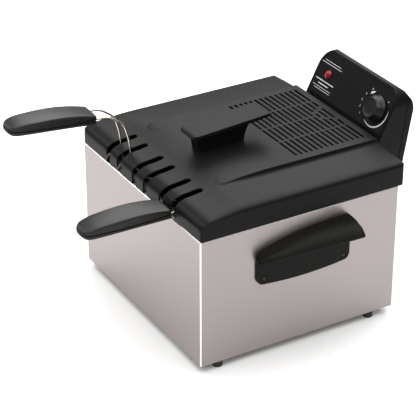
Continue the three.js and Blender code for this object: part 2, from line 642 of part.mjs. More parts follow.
function makeResetButton(parent) {
  const { x, z, radius, flange } = BUTTON;
  const stop = [[0, -12], [flange, -12], [flange, -10], [radius, -10]];
  const profile = [...stop, [radius, 4], [radius - 1, 5], [0, 5]];
  piece(parent, "reset_button", turned(profile, [x, backAt(z) + 0.5, z], Y), redLens);
  piece(parent, "thermal_cutout", box(x - 12, x + 12, 335, 351, z - 10, z + 10), phenolic);
}

function makeSignalLight(parent) {
  const { radius, x, v } = LENS;
  const neck = radius - 1.9;
  const profile = [[0, -4], [neck, -4], [neck, GAP], [radius, GAP], [radius, 1.4], [radius * 0.75, 3.4],
    [radius * 0.35, 4.4], [0, 4.6]];
  piece(parent, "signal_lens", turned(profile, onPanel(x, v), panelOut, 12), redLens);
  piece(parent, "signal_lamp", rod(3.5, onPanel(x, v, -18), onPanel(x, v, -5)), glossPanel);
}

function makeKnob(parent) {
  const { radius, height, shaft, x, v } = KNOB;
  const profile = [[0, 0], [radius, 0], [radius, 2.5], [radius - 2, 4.5], [radius - 3.6, height - 4.5],
    [radius - 5.2, height - 1.5], [radius - 6.3, height], [0, height]];
  const bore = rod(shaft + GAP, onPanel(x, v, -2), onPanel(x, v, 9.5), 12);
  const knob = turned(profile, onPanel(x, v, 0.8), panelOut, 24).subtract(bore);
  piece(parent, "thermostat_knob", knob, blackPlastic);
  piece(parent, "knob_shaft", rod(shaft, onPanel(x, v, -8), onPanel(x, v, 9), 12), bareSteel);
}

// ---------------------------------------------------------------- heating element and its bracket
function makeElement(parent) {
  const { radius, bend, legX, topZ, legY, floorZ, reach, frontY } = ELEMENT;
  const headY = 334; // the tubes end inside the control head
  const loopRear = legY - 22;
  const half = [[legX, headY, topZ], [legX, legY, topZ], [legX, legY, floorZ], [legX, loopRear, floorZ],
    [reach, loopRear, floorZ], [reach, frontY, floorZ]];
  const mirror = half.map(([x, y, z]) => [-x, y, z]);
  const loop = bentTube([...mirror, ...half.reverse()], radius, bend, 8, 4);
  piece(parent, "heating_element", loop, elementSteel);
  const bulbPath = [[0, headY, topZ], [0, legY, topZ], [0, legY, BULB.bottomZ]];
  piece(parent, "thermostat_bulb", bentTube(bulbPath, BULB.radius, BULB.bend, 8, 4), bareSteel);

  const under = topZ + radius + 2;
  const [rear, low] = [legY - radius - 2.5, BULB.bottomZ];
  const angle = [[rear - SHEET, low], [rear, low], [rear, under], [323, under], [323, under + SHEET],
    [rear - SHEET, under + SHEET]];
  piece(parent, "element_bracket", prismX(outline(angle), -44, 44), bareSteel);

  const room = radius + 0.5;
  const clip = prismX(roundedRect(frontY - 12, frontY + 12, floorZ - 6.2, floorZ + 6.4, 3), -7, 7, 3)
    .subtract(box(-8, 8, frontY - room, frontY + room, floorZ - 10, floorZ + room));
  piece(parent, "element_front_clip", clip, bareSteel);
}

// ---------------------------------------------------------------- assembly
makeHousing();
makePot();
makeSideHandle("right", 1);
makeSideHandle("left", -1);

makeLid(fryer);

const leftBasket = new THREE.Group();
leftBasket.position.set(-BASKET_X, RAISED.y, RAISED.z);
leftBasket.rotation.x = -RAISED.tilt;
fryer.add(leftBasket);
makeBasket(leftBasket, "left");

const rightBasket = new THREE.Group();
rightBasket.position.set(BASKET_X, LOWERED.y, LOWERED.z);
fryer.add(rightBasket);
makeBasket(rightBasket, "right");

makeControlHead(fryer);
makeElement(fryer);

const bounds = new THREE.Box3().setFromObject(fryer, true);
fryer.position.y = -(bounds.min.y + bounds.max.y) / 2;

export default fryer;
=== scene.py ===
"""Looks of a countertop deep fryer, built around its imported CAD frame.

Lengths are millimetres in the CAD's working frame: x = 0 on the centre plane, y = 0 on the housing's front
face and z = 0 on the floor. Each piece is placed in the row frame, in metres, when its mesh is made.
"""
from math import atan2, ceil, cos, hypot, pi, radians, sin

import bmesh
import bpy
from mathutils import Matrix, Vector


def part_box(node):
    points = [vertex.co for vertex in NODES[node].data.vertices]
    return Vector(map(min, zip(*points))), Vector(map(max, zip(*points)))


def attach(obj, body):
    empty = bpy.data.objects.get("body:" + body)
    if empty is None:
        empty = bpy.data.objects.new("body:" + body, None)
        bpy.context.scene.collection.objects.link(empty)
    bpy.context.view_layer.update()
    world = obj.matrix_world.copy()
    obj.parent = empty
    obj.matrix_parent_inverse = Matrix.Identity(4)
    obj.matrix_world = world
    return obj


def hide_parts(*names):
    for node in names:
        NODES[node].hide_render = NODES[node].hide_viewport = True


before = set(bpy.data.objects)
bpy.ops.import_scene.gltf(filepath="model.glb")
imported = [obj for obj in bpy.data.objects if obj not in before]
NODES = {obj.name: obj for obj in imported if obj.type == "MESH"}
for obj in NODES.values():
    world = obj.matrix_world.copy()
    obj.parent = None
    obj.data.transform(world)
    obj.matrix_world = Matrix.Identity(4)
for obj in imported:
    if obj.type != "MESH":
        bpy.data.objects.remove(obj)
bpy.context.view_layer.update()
MM = 0.001
HOUSING_LOW, HOUSING_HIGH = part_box("outer_housing")
FRONT = HOUSING_LOW.y


# --- frames
def work(x, y, z):
    """The working frame."""
    return Vector((x * MM, y * MM + FRONT, z * MM))


BASKET_X = 75.25
TILT = radians(5)
RAISED_Y, RAISED_Z = 28.2, 202.2
LOWERED_Y, LOWERED_Z = 65, 128


def raised(x, y, z):
    """The left basket's own frame: it hangs on the lid's front edge, leaning forward."""
    c, s = cos(TILT), sin(TILT)
    return work(x - BASKET_X, y * c + z * s + RAISED_Y, z * c - y * s + RAISED_Z)


def lowered(x, y, z):
    """The right basket's own frame: it stands in the oil."""
    return work(x + BASKET_X, y + LOWERED_Y, z + LOWERED_Z)


LEAN = radians(27)
PANEL_FOOT_Y, PANEL_FOOT_Z = 325, 231


def panel(x, v, out):
    """The control panel's frame: v runs up the panel and out points away from it."""
    c, s = cos(LEAN), sin(LEAN)
    return work(x, PANEL_FOOT_Y + v * s - out * c, PANEL_FOOT_Z + v * c + out * s)


# --- materials
HIGHLIGHT_START, HIGHLIGHT_FULL = 1.10, 1.32
NOISE_LOW, NOISE_HIGH = 0.3, 0.7


def add_node(tree, kind, inputs=None, **settings):
    """A shader node; each of its inputs is given a value, or the output to link to it."""
    node = tree.nodes.new(f"ShaderNode{kind}")
    for name, value in settings.items():
        setattr(node, name, value)
    for name, value in (inputs or {}).items():
        if isinstance(value, bpy.types.NodeSocket):
            tree.links.new(value, node.inputs[name])
        else:
            node.inputs[name].default_value = value
    return node


def paint_edge_highlight(tree, plain, target, colour):
    """Paints a highlight: mixes the bright `colour` in where the surface turns from one face of the box to
    the next.

    The sum of a normal's three parts is 1 on a face that looks along an axis, and 1.41 halfway round an edge.
    """
    normal = add_node(tree, "NewGeometry").outputs["Normal"]
    size = add_node(tree, "VectorMath", {0: normal}, operation="ABSOLUTE").outputs["Vector"]
    total = add_node(tree, "VectorMath", {0: size, 1: (1, 1, 1)}, operation="DOT_PRODUCT").outputs["Value"]
    share = add_node(tree, "MapRange", {"Value": total, "From Min": HIGHLIGHT_START, "From Max": HIGHLIGHT_FULL})
    mix = add_node(tree, "Mix", data_type="RGBA")
    by_name = {(socket.name, socket.type): socket for socket in mix.inputs}
    by_name["B", "RGBA"].default_value = (*colour, 1)
    tree.links.new(share.outputs["Result"], by_name["Factor", "VALUE"])
    tree.links.new(plain, by_name["A", "RGBA"])
    tree.links.new(next(socket for socket in mix.outputs if socket.type == "RGBA"), target)


def surface(name, colour, rough, metal=0.0, spread=0.08, tone=35, grain=900, bump=0.15, depth=0.0002,
            rough_spread=0.05, stretch=(1, 1, 1), sockets=None, tangent=False, edge_highlight=None):
    """A material whose tone drifts slowly, and whose fine grain moves its roughness and its bump.

    `tangent` brushes it round the vertical axis; the edge colour, where one is given, is a painted highlight
    laid along its rounded edges and corners.
    """
    mat = bpy.data.materials.new(name)
    mat.use_nodes = True
    tree = mat.node_tree
    shader = tree.nodes["Principled BSDF"].inputs
    for socket, value in {"Metallic": metal, **(sockets or {})}.items():
        shader[socket].default_value = value
    plain = add_node(tree, "TexCoord").outputs["Object"]
    stretched = add_node(tree, "Mapping", {"Vector": plain, "Scale": stretch}).outputs["Vector"]
    slow = add_node(tree, "TexNoise", {"Vector": plain, "Scale": tone, "Detail": 4}).outputs["Fac"]
    fine = add_node(tree, "TexNoise", {"Vector": stretched, "Scale": grain, "Detail": 3}).outputs["Fac"]
    half = add_node(tree, "Math", {0: slow, 1: 0.5}, operation="MULTIPLY").outputs[0]
    blend = add_node(tree, "Math", {0: fine, 1: 0.5, 2: half}, operation="MULTIPLY_ADD").outputs[0]
    ramp = add_node(tree, "ValToRGB", {"Fac": blend})
    low, high = ramp.color_ramp.elements
    low.position, high.position = NOISE_LOW, NOISE_HIGH
    low.color = [*(c * (1 - spread) for c in colour), 1]
    high.color = [*(min(1, c * (1 + spread)) for c in colour), 1]
    tree.links.new(ramp.outputs["Color"], shader["Base Color"])
    # Painted highlight along the rounded edges, where a colour for it is given.
    if edge_highlight:
        paint_edge_highlight(tree, ramp.outputs["Color"], shader["Base Color"], edge_highlight)
    roughness = add_node(tree, "MapRange", {
        "Value": blend, "From Min": NOISE_LOW, "From Max": NOISE_HIGH,
        "To Min": rough - rough_spread, "To Max": rough + rough_spread})
    tree.links.new(roughness.outputs["Result"], shader["Roughness"])
    relief = add_node(tree, "Bump", {"Strength": bump, "Distance": depth, "Height": fine})
    tree.links.new(relief.outputs["Normal"], shader["Normal"])
    if tangent:
        around = add_node(tree, "Tangent", direction_type="RADIAL", axis="Z")
        tree.links.new(around.outputs["Tangent"], shader["Tangent"])
    return mat


# Brushed steel, with a near-white highlight painted along its corners and rolled edges.
STEEL = surface(
    "brushed_steel", (0.338, 0.305, 0.302), 0.33, 1.0, spread=0.03, tone=6, grain=60, bump=0.05,
    depth=0.00005, rough_spread=0.03, stretch=(0.6, 0.6, 22), tangent=True, edge_highlight=(0.95, 0.93, 0.92),
    sockets={"Anisotropic": 0.6, "Anisotropic Rotation": 0.25})
BARE_STEEL = surface("bare_steel", (0.55, 0.53, 0.51), 0.32, 1.0, spread=0.05, grain=300, bump=0.05)
SCREW_STEEL = surface("screw_steel", (0.42, 0.41, 0.40), 0.32, 1.0, bump=0.08)
# Near-black screws for the side handles: painted shade standing in for the shadow in their recesses under the
# hood.
SHADED_SCREW = surface(
    "dark_screw", (0.022, 0.022, 0.021), 0.38, 0.3, spread=0.15, bump=0.08,
    sockets={"Specular IOR Level": 0.3})
NICKEL = surface(
    "nickel_wire", (0.50, 0.455, 0.385), 0.24, 1.0, spread=0.06, tone=60, grain=700, bump=0.05)
# A darker copy of the nickel wire for the baskets' mesh, rims and hooks under the lid: painted shade.
SHADED_WIRE = surface(
    "shaded_wire", (0.16, 0.143, 0.116), 0.42, 1.0, spread=0.2, tone=60, grain=700, bump=0.08)
ENAMEL = surface(
    "dark_enamel", (0.030, 0.030, 0.033), 0.35, spread=0.25, grain=500, bump=0.12,
    sockets={"Coat Weight": 0.25, "Coat Roughness": 0.25})
LID_PLASTIC = surface(
    "lid_plastic", (0.0056, 0.0052, 0.0050), 0.40, spread=0.10, tone=12, grain=1500, bump=0.22,
    depth=0.00012, rough_spread=0.04, sockets={"Specular IOR Level": 0.09})
BLACK_PLASTIC = surface(
    "black_plastic", (0.0052, 0.0050, 0.0043), 0.40, spread=0.12, tone=20, grain=1300, bump=0.18,
    depth=0.00010, sockets={"Specular IOR Level": 0.09})
GRIP_PLASTIC = surface(
    "grip_plastic", (0.0115, 0.0108, 0.0100), 0.36, spread=0.34, tone=30, grain=170, bump=0.30,
    depth=0.00012, stretch=(2.4, 0.22, 2.4), sockets={"Specular IOR Level": 0.22})
GLOSS = surface(
    "panel_gloss", (0.0060, 0.0056, 0.0064), 0.14, spread=0.10, bump=0.02, rough_spread=0.03,
    sockets={"Specular IOR Level": 0.22})
KNOB_PLASTIC = surface(
    "knob_plastic", (0.0075, 0.0072, 0.0070), 0.27, spread=0.12, tone=40, grain=1300, bump=0.08,
    depth=0.00008, sockets={"Specular IOR Level": 0.28})
PRINT = surface("panel_print", (0.62, 0.63, 0.64), 0.5, spread=0.05, grain=1500, bump=0.05)
RUBBER = surface("rubber", (0.012, 0.012, 0.012), 0.72, spread=0.2, grain=1200, bump=0.3)
FOAM = surface(
    "filter_foam", (0.030, 0.029, 0.027), 0.95, spread=0.5, tone=500, grain=1100, bump=1.0, depth=0.001)
RED_LENS = surface(
    "red_lens", (0.23, 0.003, 0.009), 0.14, spread=0.3, tone=300, grain=700, bump=0.02,
    sockets={"Coat Weight": 0.25, "Coat Roughness": 0.06, "Specular IOR Level": 0.3})
RESET_RED = surface("reset_red", (0.42, 0.02, 0.02), 0.35, bump=0.1)
LAMP_GLASS = surface(
    "lamp_glass", (0.75, 0.42, 0.28), 0.1, spread=0.1, bump=0.02,
    sockets={"Transmission Weight": 0.8, "IOR": 1.45})
ELEMENT_STEEL = surface(
    "element_steel", (0.20, 0.175, 0.155), 0.42, 1.0, spread=0.35, tone=45, grain=260, bump=0.2,
    rough_spread=0.12)
PHENOLIC = surface("phenolic", (0.085, 0.038, 0.018), 0.5, spread=0.3, tone=120, grain=500, bump=0.1)
BRASS = surface("inlet_brass", (0.62, 0.45, 0.19), 0.28, 1.0, spread=0.1, bump=0.05)


# --- curves and outlines
def smooth_curve(points, t):
    """The value at t of a smooth curve through (t, value) points."""
    if t <= points[0][0]:
        return points[0][1]
    if t >= points[-1][0]:
        return points[-1][1]
    i = next(k for k in range(len(points) - 1) if points[k + 1][0] >= t)
    (t0, v0), (t1, v1) = points[i], points[i + 1]

    def slope(k):
        low, high = points[max(k - 1, 0)], points[min(k + 1, len(points) - 1)]
        return (high[1] - low[1]) / (high[0] - low[0])

    span = t1 - t0
    u = (t - t0) / span
    m0, m1 = slope(i) * span, slope(i + 1) * span
    return ((2 * u ** 3 - 3 * u ** 2 + 1) * v0 + (u ** 3 - 2 * u ** 2 + u) * m0
            + (3 * u ** 2 - 2 * u ** 3) * v1 + (u ** 3 - u ** 2) * m1)


def ease(t):
    """0 to 1 with flat ends."""
    t = min(1, max(0, t))
    return t * t * (3 - 2 * t)


def quad(a, b, c, count):
    """Points along a quadratic curve from a to c, a itself left out."""
    return [tuple((1 - t) ** 2 * p + 2 * t * (1 - t) * q + t * t * r for p, q, r in zip(a, b, c))
            for t in (i / count for i in range(1, count + 1))]


def rounded_rect(x0, x1, y0, y1, radius, steps=8):
    """An anticlockwise outline; radius is one number or one for each corner, from the lower left."""
    radii = [radius] * 4 if isinstance(radius, (int, float)) else radius
    corners = [(x0, y0, 1, 1, 180), (x1, y0, -1, 1, 270), (x1, y1, -1, -1, 0), (x0, y1, 1, -1, 90)]
    points = []
    for (x, y, sx, sy, start), r in zip(corners, radii):
        for i in range(steps + 1):
            a = radians(start + 90 * i / steps)
            points.append((x + sx * r + r * cos(a), y + sy * r + r * sin(a)))
    return points


# --- meshes
def placed(name, data):
    """A new object in the scene."""
    obj = bpy.data.objects.new(name, data)
    bpy.context.scene.collection.objects.link(obj)
    return obj


def mesh_of(name, points, faces, place=work):
    """An object whose points, in the frame that `place` knows, are put in the row frame."""
    mesh = bpy.data.meshes.new(name)
    mesh.from_pydata([place(*p) for p in points], [], faces)
    tool = bmesh.new()
    tool.from_mesh(mesh)
    bmesh.ops.remove_doubles(tool, verts=tool.verts, dist=1e-6)
    bmesh.ops.recalc_face_normals(tool, faces=tool.faces)
    tool.to_mesh(mesh)
    tool.free()
    return placed(name, mesh)


def loft(rings, capped=True, closed=False):
    """Points and faces through rings of equal length; `closed` joins the last ring to the first."""
    size = len(rings[0])
    points = [p for ring in rings for p in ring]
    faces = []
    for k in range(len(rings) if closed else len(rings) - 1):
        a, b = k * size, ((k + 1) % len(rings)) * size
        faces += [(a + i, a + (i + 1) % size, b + (i + 1) % size, b + i) for i in range(size)]
    if capped and not closed:
        faces.append(tuple(range(size)))
        faces.append(tuple(range(len(points) - size, len(points))))
    return points, faces


def prism(name, outline, low, high, turn, place=work):
    """An outline (u, v) run from low to high; turn(u, v, w) gives the point."""
    rings = [[turn(u, v, w) for u, v in outline] for w in (low, high)]
    return mesh_of(name, *loft(rings), place)


def along_x(u, v, w):
    return (w, u, v)


def along_y(u, v, w):
    return (u, w, v)


def along_z(u, v, w):
    return (u, v, w)


def rect_loop(half, y0, y1, radius, z, steps=8):
    return [(x, y, z) for x, y in rounded_rect(-half, half, y0, y1, radius, steps)]


def lathe(profile, sides=32, ripple=None):
    """A profile of (radius, height) turned about the local z axis.

    ripple(angle, radius, height) adds to the radius.
    """
    rings = []
    for r, h in profile:
        ring = []
        for i in range(sides):
            a = 2 * pi * i / sides
            radius = r + (ripple(a, r, h) if ripple else 0)
            ring.append((radius * cos(a), radius * sin(a), h))
        rings.append(ring)
    return loft(rings)


def fillet(path, bend, steps=6):
    """The path with each corner rounded over `bend` each side of it."""
    points = [Vector(p) for p in path]
    out = [points[0]]
    for before, corner, after in zip(points, points[1:], points[2:]):
        a = corner + (before - corner).normalized() * bend
        b = corner + (after - corner).normalized() * bend
        for i in range(steps + 1):
            t = i / steps
            out.append(a * (1 - t) ** 2 + corner * 2 * t * (1 - t) + b * t * t)
    return out + [points[-1]]


def tube(path, radius, sides=14, closed=False, ends=0.25):
    """Points and faces of a round bar along a path, with rounded ends."""
    points = [Vector(p) for p in path]
    count = len(points)
    ring_axis = None
    rings = []
    for i, p in enumerate(points):
        if closed:
            way = points[(i + 1) % count] - points[i - 1]
        else:
            way = points[min(i + 1, count - 1)] - points[max(i - 1, 0)]
        way.normalize()
        if ring_axis is None:
            ring_axis = way.orthogonal().normalized()
        ring_axis = (ring_axis - way * ring_axis.dot(way)).normalized()
        other = way.cross(ring_axis)

        def ring(r, shift=0.0):
            return [tuple(p + way * shift + (ring_axis * cos(a) + other * sin(a)) * r)
                    for a in (2 * pi * k / sides for k in range(sides))]

        if not closed and i == 0:
            rings += [ring(radius * 0.6), ring(radius, radius * ends)]
        elif not closed and i == count - 1:
            rings += [ring(radius, -radius * ends), ring(radius * 0.6)]
        else:
            rings.append(ring(radius))
    return loft(rings, closed=closed)


def cut(target, cutter, operation="DIFFERENCE"):
    """Changes target's mesh by the cutter, and removes the cutter."""
    modifier = target.modifiers.new("cut", "BOOLEAN")
    modifier.object = cutter
    modifier.operation = operation
    modifier.solver = "MANIFOLD"
    bpy.context.view_layer.update()
    result = target.evaluated_get(bpy.context.evaluated_depsgraph_get())
    mesh = bpy.data.meshes.new_from_object(result)
    target.modifiers.clear()
    target.data = mesh
    bpy.data.objects.remove(cutter)
    return target


def rod(name, start, end, radius, place=work):
    return mesh_of(name, *tube([start, end], radius, 24, ends=0), place)


def soften(obj, width, angle=35, segments=3):
    """Rounds the edges over an angle by `width` millimetres."""
    modifier = obj.modifiers.new("edges", "BEVEL")
    modifier.width = width * MM
    modifier.segments = segments
    modifier.limit_method = "ANGLE"
    modifier.angle_limit = radians(angle)
    modifier.use_clamp_overlap = False
    modifier.harden_normals = True


def dress(obj, mat, body, slot, *nodes, edge=0.0, angle=35, sharp=None):
    """Gives a piece its material, edges and body, and lets it stand for CAD nodes by hiding them; `slot` is
    not used.
    """
    obj.data.materials.clear()
    obj.data.materials.append(mat)
    obj.data.shade_smooth()
    if sharp:
        obj.data.set_sharp_from_angle(angle=radians(sharp))
    if edge:
        soften(obj, edge, angle)
    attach(obj, body)
    if nodes:
        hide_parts(*nodes)


# --- housing, base and feet
def make_housing():
    width, depth, corner, mouth_corner = 165, 310, 2, 5
    section = [(0.4, 11), (0, 11.5), (0, 199), (0.15, 199.75), (0.6, 200.4), (1.25, 200.85), (2, 201),
               (10.5, 201), (11, 200.7), (11, 199.8), (10.5, 199.5), (2.4, 199.5), (1.5, 198.6), (1.5, 11.5),
               (1.1, 11)]
    rings = []
    for inset, z in section:
        radius = mouth_corner if inset > corner + 1 else max(corner - inset, 0.4)
        rings.append(rect_loop(width - inset, inset, depth - inset, radius, z, 10))
    skin = mesh_of("housing_skin", *loft(rings, closed=True))
    dress(skin, STEEL, "cabinet", "brushed_steel", "outer_housing", sharp=30)
    skin.modifiers.new("flat_faces", "WEIGHTED_NORMAL").keep_sharp = True

    tread = [(4.6, 0), (6.3, 0), (6.8, 0.4), (7, 1.2), (7, 5.2), (6.7, 5.7), (6.7, 6.5), (7, 7.0), (7, 10.7),
             (6.7, 11.2), (3.2, 11.2), (3.2, 16)]
    profile = [(0.01, 0.8), (4.2, 0.8), *tread, (0.01, 16)]
    for end, y in (("front", 31), ("rear", 275)):
        for side, x in (("left", -156), ("right", 156)):
            node = f"foot_{end}_{side}"
            foot = mesh_of(f"rubber_{node}", *lathe(profile, 36), lambda a, b, c: work(a + x, b + y, c))
            dress(foot, RUBBER, "cabinet", "rubber", node, sharp=40)


def make_pot():
    half, front, rear = 143, 16, 294
    floor, rim_low, rim_top = 30, 201.3, 202.8
    loops = []
    for inset, z, radius in ((-9, 28.5, 17), (-3.2, 30.2, 23), (1.5, 36.5, 27.5), (1.5, 196, 27.5)):
        loops.append(rect_loop(half + inset, front - inset, rear + inset, radius, z))
    end_share = 0.785
    flange = ((0, rim_low), (13.6, rim_low), (14, rim_low + 0.4), (14, rim_top - 0.4), (13.6, rim_top))
    for inset, z in flange:
        ends = inset * end_share
        loops.append(rect_loop(half + inset, front - ends, rear + ends, 12 if inset else 24, z))
    inner = ((1.2, rim_top, 27), (0.3, rim_top - 0.5, 26.3), (0, rim_top - 1.6, 26), (0, 40, 26),
             (-2, 34.5, 24), (-5, 31.4, 21), (-10, floor, 16))
    for inset, z, radius in inner:
        loops.append(rect_loop(half + inset, front - inset, rear + inset, radius, z))
    pot = mesh_of("enamel_pot", *loft(loops))
    dress(pot, ENAMEL, "cabinet", "dark_enamel", "oil_pot", sharp=50)


# --- side handles
HOOD_TOP = [(86, 160), (89, 162), (94, 164.2), (118, 170.5), (160, 178), (200, 180.8), (229, 181.5)]
HOOD_REACH = [(86, 13), (88, 16.2), (91, 18.6), (96, 20.8), (118, 26), (160, 33), (200, 38), (229, 41)]
HOOD_LIP = [(86, 155), (89, 157.2), (94, 159.2), (118, 163), (160, 166), (200, 168.4), (229, 170)]


def hood_section(y, inset, drop, lip_drop):
    """The hood's cut across y, as (out, z), drawn in by `inset`, closed below."""
    top, reach, lip = (smooth_curve(c, y) for c in (HOOD_TOP, HOOD_REACH, HOOD_LIP))
    fall = top - lip
    edge = reach - inset
    curve = [(0, top - inset), (reach * 0.25, top - 0.5 - inset), (reach * 0.45, top - 1.6 - inset * 0.95),
             (reach * 0.62, top - 0.8 - fall * 0.26 - inset), (reach * 0.78, top - fall * 0.50 - inset),
             (reach * 0.90, top - fall * 0.80 - inset * 0.8), (edge, lip - 2 - inset * 0.4)]
    return [*curve, (edge, lip - lip_drop), (0, top - drop)]


def make_side_handle(side, sign):
    wall, plate_thick, steps = 165.3, 4, 28

    def outwards(out, y, z):
        return work(sign * (wall + out), y, z)

    def span(name, y0, y1, inset, drop, lip_drop):
        ys = [y0 + (y1 - y0) * i / steps for i in range(steps + 1)]
        rings = [[(out, y, z) for out, z in hood_section(y, inset, drop, lip_drop)] for y in ys]
        return mesh_of(name, *loft(rings), outwards)

    hood = span(f"{side}_carry_handle", 86, 228.5, 0, 14, 5.6)
    cut(hood, span("pocket", 97, 226, 3.5, 40, 16))
    front, rear, bottom, corner, top = 84, 230, 113, 12, 155
    shape = [(front, top), (front, bottom + corner)]
    shape += quad((front, bottom + corner), (front, bottom), (front + corner, bottom), 8)
    shape += quad((front + corner, bottom), ((front + rear) / 2, bottom - 7), (rear - corner, bottom), 24)
    shape += quad((rear - corner, bottom), (rear, bottom), (rear, bottom + corner), 8)
    shape += [(rear, top)]
    cut(hood, prism("plate", shape, 0, plate_thick, along_x, outwards), "UNION")
    web = [(98, 146), (229.7, 146), (229.7, 170), (200, 170), (98, 161)]
    cut(hood, prism("join", web, 0, plate_thick, along_x, outwards), "UNION")
    screw_z, screw_out = bottom + 9, 4.8
    screw_places = (("front", front + 11), ("rear", rear - 11))
    for _, y in screw_places:
        cut(hood, rod("recess", (2.4, y, screw_z), (20, y, screw_z), 4.4, outwards))
    dress(hood, BLACK_PLASTIC, "cabinet", "black_plastic", f"{side}_side_handle", edge=0.6, angle=32,
          sharp=32)
    for end, y in screw_places:
        face = work(sign * (wall + screw_out), y, screw_z)
        screw(f"{side}_side_handle_screw_{end}", face, Vector((sign, 0, 0)), 3.4, "cabinet", SHADED_SCREW)


# --- screws
def screw_mesh():
    """A pan head with a cross recess, 1 mm in radius, its face at the origin looking along +z."""
    def bare(x, y, z):
        return Vector((x, y, z))

    def scaled(x, y, z):
        return Vector((x, y, z)) * MM

    dome = [(0.001, 0.0), (0.45, -0.01), (0.78, -0.08), (0.93, -0.22), (1.0, -0.42), (1.0, -0.56),
            (0.44, -0.6), (0.44, -2.6), (0.30, -3.1), (0.001, -3.2)]
    head = mesh_of("screw", *lathe([(r * 1000, h * 1000) for r, h in dome], 32), scaled)
    for a, b in ((0.11, 0.58), (0.58, 0.11)):
        corners = ((-a, -b), (a, -b), (a, b), (-a, b))
        rings = [[(x * s, y * s, z) for x, y in corners] for s, z in ((0.5, -0.34), (1, 0.1))]
        cut(head, mesh_of("cross", *loft(rings), bare))
    mesh = head.data
    bpy.data.objects.remove(head)
    mesh.shade_smooth()
    mesh.set_sharp_from_angle(angle=radians(35))
    return mesh


SCREW = screw_mesh()


def screw(node, face, axis, radius, body, mat=SCREW_STEEL):
    """A screw whose head's outer face is at `face`, looking along `axis`; its cross is turned a little."""
    obj = placed(f"cross_{node}", SCREW.copy())
    turn = axis.to_track_quat("Z", "Y").to_matrix().to_4x4()
    matrix = Matrix.Translation(face) @ turn @ Matrix.Rotation(0.4, 4, "Z") @ Matrix.Scale(radius * MM, 4)
    obj.data.transform(matrix)
    obj.data.materials.clear()
    obj.data.materials.append(mat)
    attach(obj, body)
    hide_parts(node)


# --- lid
LID_W, LID_FRONT, LID_REAR, LID_LOW, LID_CORNER = 166.5, 0.5, 317, 201.4, 4
FLAT_X, FLAT_FRONT, FLAT_REAR = LID_W - LID_CORNER, LID_FRONT + LID_CORNER, LID_REAR - LID_CORNER
FRONT_EDGE, SIDE_EDGE = 215, 228
FRONT_ROLL, SIDE_ROLL, REAR_ROLL = 23.5, 8, 3.2
SLOT_SPREAD, SLOT_HALF, SLOT_STRAIGHT = 15.75, 5, 40.5
SLOT_LIP_DROP, SLOT_LIP = 0.9, 1.3
SLOTS = [sign * SLOT_SPREAD + x for x in (-BASKET_X, 0, BASKET_X) for sign in (-1, 1)]
VENT_HALF, VENT_FRONT, VENT_ROWS, VENT_PITCH, VENT_SLIT = 88, 192, 14, 8.4, 3.6
RIB_X, RIB, VEE_ROWS, VEE_RIB, VEE_TIP, VEE_STEP = 43, 3.6, 3, 7.2, 9.4, 5.4
NOTCH_HALF, NOTCH_SHARE = 52, 25 / 37.8
SLOPE_SIDE = [(0.5, 229.0), (25, 230.3), (40, 232.2), (50, 233.8), (60, 235.8), (70, 237.6), (80, 238.8),
              (95, 239.5), (320, 239.5)]
SLOPE_ACROSS = [(0, 239.5), (98, 239.5), (108, 239.2), (130, 237.3), (158, 234.8), (166.5, 234.2)]
PLATFORM_TOP = [(44, 233.0), (56, 235.4), (70, 238.2), (84, 240.2), (100, 241.6), (120, 242.6), (140, 243),
                (320, 243)]
PLATFORM_HALF, PLATFORM_FRONT, PLATFORM_CORNER = 103.6, 54, 22
PLATFORM_STEP, PLATFORM_FADE = 2.6, 30


def rolled(distance, reach):
    """How much of the height is lost at a distance from a rolled edge, 1 at the edge."""
    u = min(1, max(0, distance / reach))
    return 1 - (1 - (1 - u) ** 2.3) ** (1 / 2.3)


def slot_distance(x, y):
    if y < SLOT_STRAIGHT:
        return min(abs(x - s) for s in SLOTS) - SLOT_HALF
    return min(hypot(x - s, y - SLOT_STRAIGHT) for s in SLOTS) - SLOT_HALF


def platform_share(x, y):
    """1 on the vented platform and 0 off it: its sides are crisp, and its front fades out."""
    across, along = PLATFORM_HALF - abs(x), y - PLATFORM_FRONT
    if across >= PLATFORM_CORNER or along >= PLATFORM_CORNER:
        inside, turn = min(across, along), 0 if across < along else 1
    else:
        p, q = PLATFORM_CORNER - across, PLATFORM_CORNER - along
        inside, turn = PLATFORM_CORNER - hypot(p, q), atan2(q, p) / (pi / 2)
    return ease(inside / (PLATFORM_STEP + PLATFORM_FADE * ease(turn)))


def lid_height(x, y):
    """The lid's outer surface over a point of its plan."""
    side, across = smooth_curve(SLOPE_SIDE, y), smooth_curve(SLOPE_ACROSS, abs(x))
    mix = max(0, 1 - abs(side - across) / 4)
    top = min(side, across) - mix * mix
    top += max(0, smooth_curve(PLATFORM_TOP, y) - top) * platform_share(x, y)
    from_front, from_side, from_rear = y - LID_FRONT, LID_W - abs(x), LID_REAR - y
    drops = [(top - FRONT_EDGE) * rolled(from_front, FRONT_ROLL),
             (top - SIDE_EDGE) * rolled(from_side, SIDE_ROLL),
             REAR_ROLL * rolled(from_rear, REAR_ROLL)]
    cx, cy = LID_CORNER - from_side, LID_CORNER - from_front
    if cx > 0 and cy > 0:
        angle = atan2(cy, cx) / (pi / 2)
        edge = SIDE_EDGE + (FRONT_EDGE - SIDE_EDGE) * ease(angle)
        reach = SIDE_ROLL + (FRONT_ROLL - SIDE_ROLL) * ease(angle)
        inside = LID_CORNER - hypot(cx, cy)
        drops.append((top - edge) * rolled(inside, reach) * min(1, 3 * sin(pi * angle)))
    top -= sum(max(0, d) ** 4 for d in drops) ** 0.25
    return top - SLOT_LIP_DROP * rolled(slot_distance(x, y), SLOT_LIP)


